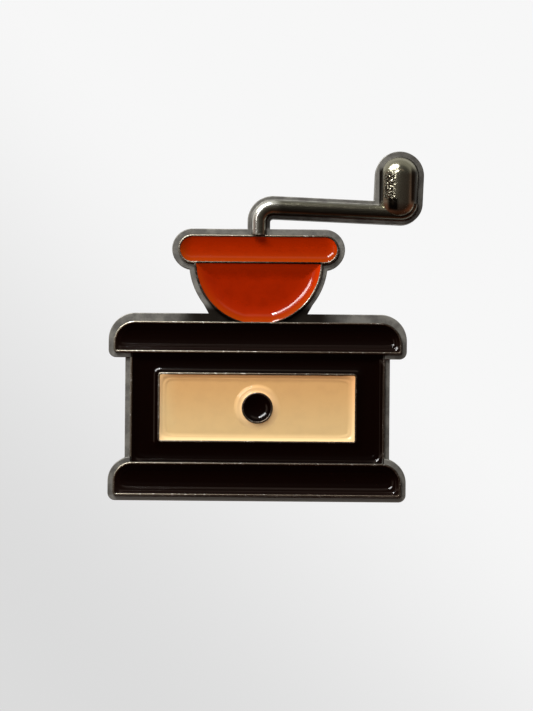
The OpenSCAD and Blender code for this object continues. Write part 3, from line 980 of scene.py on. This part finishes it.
def slab(shape, level, plate):
    """A plate of the shape's outline with rounded front and back edges."""
    front, back = prism(shape, plate.back_edge, level - plate.front_edge)
    step_in(shape, front, arc_steps(plate.front_edge, 0, math.pi / 2, EDGE_STEPS))
    step_in(shape, back, arc_steps(plate.back_edge, 0, math.pi / 2, EDGE_STEPS))
    return shape


def lined_cell(cell, plate):
    """A cell's lining: a floor inside a raised line with a round top."""
    bead = plate.line_width / 2
    shape = cell.outline(plate.line_width, plate.line_corner)
    crown = cell.level + plate.line_height - bead
    face, _ = prism(shape, cell.floor - plate.floor_thickness, crown)
    step_in(shape, face, arc_steps(bead, 0, math.pi, BEAD_STEPS))
    extruded(shape, face, (0, 0, cell.floor - crown))
    return shape


class CrankPath:
    """Places along the crank: upright, elbow, sloping arm and grip."""

    def __init__(self, crank, rim):
        self.crank = crank
        self.foot = rim.top
        self.elbow = Vector((crank.elbow_radius, rim.top + crank.rise))
        self.bend = math.pi / 2 + crank.arm_slope

    def on_arm(self, along, across):
        """The place so far along the arm from the elbow, and across from its middle."""
        slope = self.crank.arm_slope
        out = across + self.crank.elbow_radius
        return (
            self.elbow.x + along * math.cos(slope) + out * math.sin(slope),
            self.elbow.y - along * math.sin(slope) + out * math.cos(slope),
        )

    def elbow_corner(self, radius):
        """The elbow as one rounded corner of an outline."""
        return (self.elbow.x - radius, self.elbow.y + radius * math.tan(self.bend / 2), radius)

    def flange(self):
        """The flat outline under the whole crank."""
        crank = self.crank
        half = crank.arm_width / 2
        left = crank.arm_length - crank.grip_width / 2
        right = crank.arm_length + crank.grip_width / 2
        crown = crank.grip_height - half
        return outline(
            [
                (-half, self.foot, 0),
                (half, self.foot, 0),
                self.elbow_corner(crank.elbow_radius - half),
                (*self.on_arm(right, -half), crank.grip_corner),
                (*self.on_arm(right, crown), crank.grip_width / 2),
                (*self.on_arm(left, crown), crank.grip_width / 2),
                (*self.on_arm(left, half), crank.notch),
                self.elbow_corner(crank.elbow_radius + half),
            ]
        )

    def ridge(self, level, start):
        """The round ridge, drawn along upright, elbow and arm and up into the grip."""
        crank = self.crank
        half = crank.ridge_width / 2
        foot = half + crank.ridge_fillet
        root = level - crank.ridge_root
        rise = level + half
        shape = outline(
            [
                (-foot, root, 0),
                (foot, root, 0),
                (foot, level, 0),
                (half, level, crank.ridge_fillet),
                (half, rise, crank.ridge_round),
                (-half, rise, crank.ridge_round),
                (-half, level, crank.ridge_fillet),
                (-foot, level, 0),
            ]
        )
        bmesh.ops.rotate(shape, verts=shape.verts[:], cent=(0, 0, 0), matrix=STAND_UP.to_3x3())
        shift(shape, (0, start, 0))
        slope = crank.arm_slope
        straight = crank.arm_length + crank.grip_width / 2 - half - crank.grip_margin - crank.turn_radius
        face = extruded(shape, only_face(shape), (0, self.elbow.y - start, 0))
        face = spun(shape, face, self.elbow.to_3d(), -1, self.bend)
        along = (straight * math.cos(slope), -straight * math.sin(slope), 0)
        face = extruded(shape, face, along)
        spun(shape, face, (*self.on_arm(straight, crank.turn_radius), 0), 1, math.pi / 2)
        face_outward(shape)
        return shape

    def grip(self, level):
        """The front half of a turned knob, sunk in its flange."""
        crank = self.crank
        half = crank.grip_width / 2 - crank.grip_margin
        swell = (half**2 + crank.grip_relief**2) / (2 * crank.grip_relief)
        foot = crank.grip_foot - crank.arm_width / 2
        top = crank.grip_height - crank.arm_width / 2 - crank.grip_margin - half + swell
        shape = turned(
            [(0, foot, 0), (swell, foot, crank.grip_heel), (swell, top, swell), (0, top, 0)], -math.pi
        )
        rim = [edge for edge in shape.edges if edge.is_boundary]
        bmesh.ops.holes_fill(shape, edges=rim, sides=0)
        face_outward(shape)
        lean = Matrix.Rotation(-crank.arm_slope, 4, "Z")
        sunk = level + crank.grip_relief - swell
        place = Matrix.Translation((*self.on_arm(crank.arm_length, 0), sunk))
        shape.transform(place @ lean @ LAY_BACK)
        return shape


def spun(shape, face, centre, side, angle):
    """Carries a face round an axis along Z, and gives the face at the far end."""
    end = bmesh.ops.spin(
        shape,
        geom=[face, *face.edges, *face.verts],
        cent=centre,
        axis=(0, 0, side),
        angle=angle,
        steps=max(ARC_LEAST, round(CRANK_TURN * angle / ARC_PIECE)),
    )["geom_last"]
    return picked(end, BMFace)[0]


def row_points(row):
    """The points of a row of edges."""
    return list({point for edge in row for point in edge.verts})


def moved_row(shape, row, offset):
    """Extrudes a row of edges by an offset and gives the new row."""
    made = bmesh.ops.extrude_edge_only(shape, edges=row)["geom"]
    bmesh.ops.translate(shape, verts=picked(made, BMVert), vec=offset)
    return picked(made, BMEdge)


def bent_row(shape, row, centre, side, angle, steps):
    """Carries a row of edges round an axis along X and gives the last row."""
    made = bmesh.ops.spin(
        shape, geom=row + row_points(row), cent=centre, axis=(side, 0, 0), angle=angle, steps=steps
    )["geom_last"]
    return picked(made, BMEdge)


class PIN_OT_plate(bpy.types.Operator):
    """Build the struck metal plate with its raised lines and crank"""

    bl_idname = "enamel_pin.plate"
    bl_label = "Plate"

    def execute(self, context):
        plate = drawn(context.scene.pin_plate)
        crank = drawn(context.scene.pin_crank)
        cells = mill_cells(plate, drawn(context.scene.pin_enamel))
        border = plate.border
        board, case, plinth, rim, bowl = (cells[name] for name in ("board", "case", "plinth", "rim", "bowl"))
        path = CrankPath(crank, rim)
        crested = rounded_block(
            board.left - border,
            board.right + border,
            board.foot - border,
            board.top + border + plate.crest,
            board.upper + border,
            border,
        )
        solids = [
            slab(outline(crested), board.level, plate),
            slab(plinth.outline(border, border), plinth.level, plate),
            slab(case.outline(border), case.level, plate),
            slab(rim.outline(plate.rim_border), rim.level, plate),
            slab(bowl.outline(border), bowl.level, plate),
            slab(self.waist(board, bowl, plate), board.level, plate),
            slab(path.flange(), rim.level, plate),
        ]
        cutters = [self.pocket(cell, plate) for cell in (board, plinth, case, rim, bowl)]
        cutters += [self.seat(node, plate) for node in ("left_post", "right_post")]
        shape = carved(solids, cutters)
        absorb(shape, [lined_cell(cell, plate) for cell in cells.values()])
        absorb(shape, [path.ridge(rim.level, rim.top + plate.line_width), path.grip(rim.level)])
        material = black_nickel(context.scene.pin_colours, plate, cells, path)
        piece = finished("plate", shape, STAND_UP, material, "pin", ["base_plate"])
        even_normals(piece)
        return {"FINISHED"}

    def waist(self, board, bowl, plate):
        """The widened foot of the bowl's border on the top board."""
        half = plate.waist_width / 2
        foot = board.top + plate.border + plate.crest
        rise = foot + plate.waist_rise
        reach = math.sqrt((bowl.radius + plate.border) ** 2 - (bowl.middle - rise) ** 2) - plate.front_edge
        right = [(half, board.top, 0), (half, foot, 0), (reach, rise, 0)]
        left = [(-x, y, corner) for x, y, corner in reversed(right)]
        return outline(right + left)

    def pocket(self, cell, plate):
        """What is cut away for a cell, up to the middle of its line."""
        shape = cell.outline(plate.line_width / 2, plate.line_corner - plate.line_width / 2)
        prism(shape, cell.floor - plate.floor_thickness / 2, cell.level + 2 * plate.line_height)
        return shape

    def seat(self, node, plate):
        """What is cut away of the back face for a post."""
        shape = bmesh.new()
        bmesh.ops.create_circle(
            shape, cap_ends=True, segments=TURNED_STEPS, radius=plate.seat_diameter / 2
        )
        shift(shape, (middle_of(node), 0, 0))
        prism(shape, -plate.seat_depth, plate.seat_depth)
        return shape


class PIN_OT_enamels(bpy.types.Operator):
    """Fill the cells with enamel that climbs the lines round it"""

    bl_idname = "enamel_pin.enamels"
    bl_label = "Enamels"

    def execute(self, context):
        sizes = drawn(context.scene.pin_enamel)
        plate = drawn(context.scene.pin_plate)
        tints = context.scene.pin_colours
        cells = mill_cells(plate, sizes)
        paints = {}
        for name, users, inner in (
            ("red", ("rim", "bowl"), None),
            ("brown", ("board", "plinth", "case"), None),
            ("cream", ("drawer",), "knob"),
        ):
            shades = [getattr(tints, name + depth) for depth in ("", "_deep", "_pale")]
            slot = name + "_enamel"
            filled = [cells[user] for user in users]
            paints[slot] = enamel_paint(slot, shades, filled, sizes.tuck, cells.get(inner), plate.line_width)
        for name, slot, inner in (
            ("rim", "red_enamel", None),
            ("bowl", "red_enamel", None),
            ("board", "brown_enamel", None),
            ("case", "brown_enamel", "drawer"),
            ("drawer", "cream_enamel", "knob"),
            ("knob", "brown_enamel", None),
            ("plinth", "brown_enamel", None),
        ):
            cell = cells[name]
            shape = self.pool(cell, sizes, cells.get(inner), plate.line_width)
            finished(cell.node + "_fill", shape, STAND_UP, paints[slot], "pin", [cell.node])
        return {"FINISHED"}

    def pool(self, cell, sizes, inner, line):
        """Enamel in a cell, round another cell where one lies inside it."""
        room = min(cell.right - cell.left, cell.top - cell.foot)
        if inner:
            room = min(inner.foot - cell.foot, inner.left - cell.left) - line
        reach = min(sizes.reach, sizes.room * room)
        climb = sizes.steepness * reach / 2
        level = cell.rim - climb
        shape = divided(cell.outline(sizes.tuck), sizes.corner_run)
        face, bottom = prism(shape, cell.floor, cell.rim)
        step_in(shape, face, meniscus_steps(reach + sizes.tuck, climb))
        if cell.square:
            lowest, highest = level + SAME_POINT, cell.rim - SAME_POINT
            slopes = [point for point in shape.verts if lowest < point.co.z < highest]
            for _ in range(CORNER_PASSES):
                bmesh.ops.smooth_vert(
                    shape, verts=slopes, factor=CORNER_BLEND, use_axis_x=True, use_axis_y=True
                )
        if not inner:
            return shape
        well = divided(inner.outline(line + reach, line + reach), sizes.corner_run)
        mouth = only_face(well)
        shift(well, (0, 0, level))
        rise = [(inward, -upward) for inward, upward in reversed(meniscus_steps(reach + sizes.tuck, climb))]
        step_in(well, mouth, rise)
        mouth = extruded(well, mouth, (0, 0, cell.floor - level - climb))
        bmesh.ops.delete(well, geom=[mouth], context="FACES_ONLY")
        bmesh.ops.delete(shape, geom=[face, bottom], context="FACES_ONLY")
        absorb(shape, [well])
        for height in (level, cell.floor):
            rims = [
                edge
                for edge in shape.edges
                if edge.is_boundary and all(abs(point.co.z - height) < SAME_POINT for point in edge.verts)
            ]
            bmesh.ops.triangle_fill(shape, edges=rims, use_beauty=True)
        face_outward(shape)
        return shape


def post_place(node, out=0.0):
    """From a turned piece's drawing to its post's axis."""
    return Matrix.Translation((middle_of(node), out, 0)) @ LAY_BACK


class PIN_OT_posts(bpy.types.Operator):
    """Turn the two pointed posts and the solder that holds them"""

    bl_idname = "enamel_pin.posts"
    bl_label = "Posts and solder"

    def execute(self, context):
        post = drawn(context.scene.pin_post)
        plate = drawn(context.scene.pin_plate)
        steel = post_steel(context.scene.pin_colours)
        tin = solder_metal(context.scene.pin_colours)
        for side in ("left", "right"):
            node = f"{side}_post"
            low, high = corners_of(node)
            radius = (high.x - low.x) / 2
            shape = self.shaft(post, radius, low.y, high.y)
            finished(f"{side}_turned_post", shape, post_place(node), steel, "pin", [node])
            shape = self.fillet(post, plate, radius)
            seat = f"{side}_solder"
            finished(f"{side}_solder_fillet", shape, post_place(node), tin, "pin", [seat])
        return {"FINISHED"}

    def shaft(self, post, radius, foot, top):
        """A post with its groove and point."""
        shoulder = top - post.point_length
        groove = shoulder - post.groove_back
        return turned(
            [
                (0, foot, 0),
                (radius, foot, 0),
                (radius, groove - post.groove_length, post.groove_edge),
                (radius - post.groove_depth, groove - post.groove_length / 2, post.groove_hollow),
                (radius, groove, post.groove_edge),
                (radius, shoulder, post.shoulder_round),
                (post.point_tip, top, post.tip_round),
                (0, top, 0),
            ]
        )

    def fillet(self, post, plate, radius):
        """A disc in the seat and a hollow climb up the post, closed inside the post."""
        seat = plate.seat_diameter / 2
        foot = radius + post.fillet_height + post.fillet_ledge
        return turned(
            [
                (radius / 2, -plate.seat_depth, 0),
                (seat, -plate.seat_depth, 0),
                (seat, post.solder_proud, post.solder_edge),
                (foot, post.solder_proud, post.fillet_foot),
                (radius + post.fillet_ledge, post.fillet_ledge, post.fillet_curve),
                (radius + post.fillet_ledge, post.fillet_height, post.fillet_lip),
                (radius / 2, post.fillet_height, 0),
            ],
            ring=True,
        )


def sheet_metal(piece, clutch):
    """Gives a drawn sheet its thickness and rounds its cut edges."""
    wall = piece.modifiers.new("sheet", "SOLIDIFY")
    wall.thickness = clutch.sheet * MILLIMETRE
    wall.offset = 0
    wall.use_even_offset = True
    edge = piece.modifiers.new("cut_edges", "BEVEL")
    edge.width = clutch.sheet_edge * MILLIMETRE
    edge.segments = SHEET_EDGE_STEPS
    edge.limit_method = "ANGLE"
    edge.angle_limit = CUT_ANGLE
    even_normals(piece)


class PIN_OT_clutch_cups(bpy.types.Operator):
    """Press the two cups with their rolled rims"""

    bl_idname = "enamel_pin.clutch_cups"
    bl_label = "Clutch cups"

    def execute(self, context):
        clutch = drawn(context.scene.pin_clutch)
        nickel = pressed_nickel("clutch_nickel", context.scene.pin_colours.clutch, (3, 0.6, 3))
        for side in ("left", "right"):
            node = f"{side}_clutch_cup"
            low, high = corners_of(node)
            shape = self.cup(clutch, (high.x - low.x) / 2)
            place = post_place(node, low.y)
            body = f"{side}_clutch"
            piece = finished(f"{side}_pressed_cup", shape, place, nickel, body, [node])
            sheet_metal(piece, clutch)
        return {"FINISHED"}

    def cup(self, clutch, radius):
        """The middle of the cup's sheet, turned."""
        half = clutch.sheet / 2
        wall = radius - half
        hole = clutch.hole / 2
        over = clutch.roll_height + clutch.roll_radius
        lip = wall - 2 * clutch.roll_radius
        ring, run = clutch.bead_out, clutch.bead_run
        return turned(
            [
                (hole, half + clutch.flare_drop, 0),
                (hole + clutch.flare_edge, half + clutch.flare_drop, clutch.flare_round),
                (hole + clutch.hole_flare + clutch.flare_drop, half, clutch.flare_round),
                (ring - run, half, run),
                (ring, half + clutch.bead_height, run),
                (ring + run, half, run),
                (wall, half, clutch.corner - half),
                (wall, over, clutch.roll_radius),
                (lip, over, clutch.roll_radius),
                (lip, clutch.roll_height, 0),
            ]
        )


class PIN_OT_clutch_wings(bpy.types.Operator):
    """Bend the four pinched wings with their jaws"""

    bl_idname = "enamel_pin.clutch_wings"
    bl_label = "Clutch wings"

    def execute(self, context):
        clutch = drawn(context.scene.pin_clutch)
        nickel = pressed_nickel("wing_nickel", context.scene.pin_colours.wing, (0.6, 6, 6))
        for side in ("left", "right"):
            cup = f"{side}_clutch_cup"
            low, _ = corners_of(cup)
            for end, up in (("upper", 1), ("lower", -1)):
                shape = self.wing(clutch)
                lean = Matrix.Rotation(-clutch.wing_lean, 4, "X")
                pivot = Matrix.Translation((0, clutch.pivot_up, clutch.pivot_out))
                post = Matrix.Translation((middle_of(cup), low.y, 0))
                flip = Matrix.Scale(up, 4, (0, 0, 1))
                shape.transform(post @ flip @ pivot @ lean)
                face_outward(shape)
                piece = finished(
                    f"{side}_{end}_bent_wing",
                    shape,
                    Matrix.Identity(4),
                    nickel,
                    f"{side}_{end}_wing",
                    [f"{side}_clutch_{end}_wing"],
                )
                sheet_metal(piece, clutch)
        return {"FINISHED"}

    def wing(self, clutch):
        """The middle of a wing's sheet: jaw, loop, leg, bend and flared wing, about its pivot along X."""
        shape = bmesh.new()
        loop = clutch.loop_radius
        row = self.jaw_edge(shape, clutch)
        row = self.straightened(shape, row, -3 * loop)
        row = self.straightened(shape, row, -2 * loop)
        self.widen(shape, row, clutch.foot_width / clutch.jaw_width)
        row = self.straightened(shape, row, 0)
        row = bent_row(shape, row, (0, 0, 0), -1, math.pi, LOOP_STEPS)
        row = moved_row(shape, row, (0, 0, -clutch.leg_length))
        bend_up = loop + clutch.bend_radius
        row = bent_row(shape, row, (0, bend_up, -clutch.leg_length), 1, math.pi / 2, BEND_STEPS)
        rows = []
        for _ in range(RISE_STEPS):
            row = moved_row(shape, row, (0, clutch.wing_rise / RISE_STEPS, 0))
            rows.append(row)
        out = clutch.flare_radius - clutch.leg_length - clutch.bend_radius
        centre = (0, bend_up + clutch.wing_rise, out)
        for _ in range(FLARE_STEPS):
            row = bent_row(shape, row, centre, 1, clutch.flare_turn / FLARE_STEPS, 1)
            rows.append(row)
        self.round_wing(shape, rows, clutch)
        bmesh.ops.remove_doubles(shape, verts=shape.verts[:], dist=SAME_POINT)
        return shape

    def jaw_edge(self, shape, clutch):
        """The jaw's edge toward the post, with a round notch for it."""
        room = clutch.post_room
        gap = clutch.jaw_gap / 2
        level = -clutch.loop_radius
        axis = -clutch.pivot_out
        opening = math.asin(gap / room)
        start = shape.verts.new((room * math.cos(opening), level, axis + gap))
        bmesh.ops.spin(
            shape,
            geom=[start],
            cent=(0, level, axis),
            axis=(0, -1, 0),
            angle=math.pi - 2 * opening,
            steps=NOTCH_STEPS,
        )
        right = shape.verts.new((clutch.jaw_width / 2, level, axis + gap))
        left = shape.verts.new((-clutch.jaw_width / 2, level, axis + gap))
        ends = sorted((point for point in shape.verts if point not in (left, right)), key=lambda p: p.co.x)
        shape.edges.new((left, ends[0]))
        shape.edges.new((ends[-1], right))
        return shape.edges[:]

    def straightened(self, shape, row, height):
        """Extrudes a row to a straight line at a height along Z."""
        made = moved_row(shape, row, (0, 0, 0))
        for point in row_points(made):
            point.co.z = height
        return made

    def widen(self, shape, row, ratio):
        """Makes a row wider or narrower by a ratio."""
        bmesh.ops.scale(shape, verts=row_points(row), vec=(ratio, 1, 1))

    def round_wing(self, shape, rows, clutch):
        """Scales each row of the wing so that its corners are round."""
        half = clutch.wing_width / 2
        corner = clutch.wing_corner
        heights = [row[0].verts[0].co.y for row in rows]
        top = max(heights)
        foot = clutch.loop_radius + clutch.sheet
        for row, height in zip(rows, heights):
            into = max(0.0, corner - (height - foot), corner - (top - height))
            width = half - corner + math.sqrt(max(0.0, corner**2 - into**2))
            self.widen(shape, row, 2 * width / clutch.foot_width)


class PIN_OT_stage(bpy.types.Operator):
    """Set the pale backdrop, the lamps, the world and the camera"""

    bl_idname = "enamel_pin.stage"
    bl_label = "Stage"

    def execute(self, context):
        stage = context.scene.pin_stage
        self.backdrop(stage)
        self.world(context.scene, stage)
        for name in ("key", "strip", "bulb"):
            self.lamp(name, *(getattr(stage, f"{name}_{part}") for part in ("power", "place", "size")))
        self.camera(context.scene, stage)
        context.scene.view_settings.view_transform = "Standard"
        return {"FINISHED"}

    def backdrop(self, stage):
        """A pale sweep: a floor under and behind the pin that curves up into a wall."""
        shape = bmesh.new()
        sides = (-stage.sweep_half, stage.sweep_half)
        ends = [shape.verts.new((x, stage.floor_edge, stage.floor_level)) for x in sides]
        centre = (0, stage.floor_edge + stage.floor_run, stage.floor_level + stage.sweep_radius)
        row = moved_row(shape, [shape.edges.new(ends)], (0, stage.floor_run, 0))
        row = bent_row(shape, row, centre, 1, math.pi / 2, SWEEP_STEPS)
        moved_row(shape, row, (0, 0, stage.wall))
        face_outward(shape)
        mesh = bpy.data.meshes.new("backdrop")
        shape.to_mesh(mesh)
        shape.free()
        mesh.shade_smooth()
        mesh.materials.append(self.paper(stage))
        sweep = bpy.data.objects.new("backdrop", mesh)
        bpy.context.scene.collection.objects.link(sweep)

    def paper(self, stage):
        """Pale paper that glows with its own tone to the camera and in reflections, painted darker toward the
        lower left as shade, and lights the pin as matt paper does.
        """
        material, nodes = new_material("pale_paper")
        across, _, up = nodes.axes(nodes.space())
        # painted shade: the paper's glowing tone falls from the upper right to the lower left
        tint = nodes.mix(nodes.ramp(up + across * 0.9, -190, 60), stage.paper_shade, stage.paper_light)
        seen, mirrored = nodes.rays()
        matt = nodes.add("ShaderNodeBsdfDiffuse", {}, {"Color": tint})
        glow = nodes.add("ShaderNodeEmission", {}, {"Color": tint, "Strength": 1.0})
        shown = nodes.add("ShaderNodeMixShader", {}, {0: seen + mirrored, 1: matt, 2: glow})
        nodes.add("ShaderNodeOutputMaterial", {}, {"Surface": shown})
        return material

    def world(self, scene, stage):
        """A dim room: brighter overhead, dark round the camera but for a faint ring of light.

        The camera sees pale paper in its place, and so do reflections on the backdrop's side. Directions
        run from -1 to 1, and the camera stands where depth is near -1.
        """
        world = bpy.data.worlds.new("room")
        world.use_nodes = True
        nodes = Nodes(world.node_tree)
        way = nodes.add("ShaderNodeTexCoord", {}, {}, "Generated")
        side, depth, height = nodes.axes(way)
        shade = nodes.ramp(depth, -0.65, -0.25, 0.1, 1.0)
        above = nodes.ramp(height, -0.2, 0.6)
        ring = nodes.band(depth, -0.875, -0.785, 0.03, 0.03) * nodes.ramp(height - side * 0.8, 0.05, 0.3)
        tint = nodes.mix(above, stage.room_below, stage.room_above)
        tint = nodes.mix(ring, tint, stage.room_ring)
        room = nodes.add("ShaderNodeBackground", {}, {"Color": tint, "Strength": shade + ring})
        paper = nodes.add("ShaderNodeBackground", {}, {"Color": opaque(stage.paper_far), "Strength": 1.0})
        seen, mirrored = nodes.rays()
        pale = seen + mirrored * nodes.ramp(depth, 0.0, 0.3)
        shown = nodes.add("ShaderNodeMixShader", {}, {0: pale, 1: room, 2: paper})
        nodes.add("ShaderNodeOutputWorld", {}, {"Surface": shown})
        scene.world = world

    def lamp(self, name, power, place, size):
        """An area lamp that faces the posts, with its long side across the way to them in the front view."""
        light = bpy.data.lights.new(name, "AREA")
        light.shape = "RECTANGLE"
        light.size, light.size_y = size
        light.energy = power
        lamp = bpy.data.objects.new(name, light)
        lamp.location = place
        tilt = math.atan2(-place[0], place[2])
        aim = (-Vector(place)).to_track_quat("-Z", "Y")
        lamp.rotation_euler = (aim @ Quaternion((0, 0, 1), tilt)).to_euler()
        bpy.context.scene.collection.objects.link(lamp)

    def camera(self, scene, stage):
        """A level camera before the pin."""
        data = bpy.data.cameras.new("camera")
        data.sensor_fit = "VERTICAL"
        data.sensor_height = stage.sensor / MILLIMETRE
        data.lens = stage.lens / MILLIMETRE
        data.clip_start = stage.near
        camera = bpy.data.objects.new("camera", data)
        camera.location = (stage.aim_x, -stage.distance, stage.aim_z)
        camera.rotation_euler = (math.pi / 2, stage.roll, 0)
        scene.collection.objects.link(camera)
        scene.camera = camera


class PIN_PT_panel(bpy.types.Panel):
    """The pin's pieces and sizes in the sidebar"""

    bl_idname = "PIN_PT_panel"
    bl_label = "Enamel pin"
    bl_space_type = "VIEW_3D"
    bl_region_type = "UI"
    bl_category = "Enamel pin"

    def draw(self, context):
        for step in STEPS:
            self.layout.operator(step.bl_idname)
        for name, group in GROUPS.items():
            box = self.layout.box()
            box.label(text=group.__doc__)
            for value in group.__annotations__:
                box.prop(getattr(context.scene, name), value)


GROUPS = {
    "pin_plate": PlateSizes,
    "pin_crank": CrankSizes,
    "pin_enamel": EnamelSizes,
    "pin_post": PostSizes,
    "pin_clutch": ClutchSizes,
    "pin_colours": PinColours,
    "pin_stage": StageSettings,
}
STEPS = [PIN_OT_plate, PIN_OT_enamels, PIN_OT_posts, PIN_OT_clutch_cups, PIN_OT_clutch_wings, PIN_OT_stage]


def register():
    for item in [*GROUPS.values(), *STEPS, PIN_PT_panel]:
        bpy.utils.register_class(item)
    for name, group in GROUPS.items():
        setattr(bpy.types.Scene, name, PointerProperty(type=group))


def unregister():
    for name in GROUPS:
        delattr(bpy.types.Scene, name)
    for item in reversed([*GROUPS.values(), *STEPS, PIN_PT_panel]):
        bpy.utils.unregister_class(item)


def main():
    register()
    bpy.ops.enamel_pin.plate()
    bpy.ops.enamel_pin.enamels()
    bpy.ops.enamel_pin.posts()
    bpy.ops.enamel_pin.clutch_cups()
    bpy.ops.enamel_pin.clutch_wings()
    bpy.ops.enamel_pin.stage()


if __name__ == "__main__":
    main()
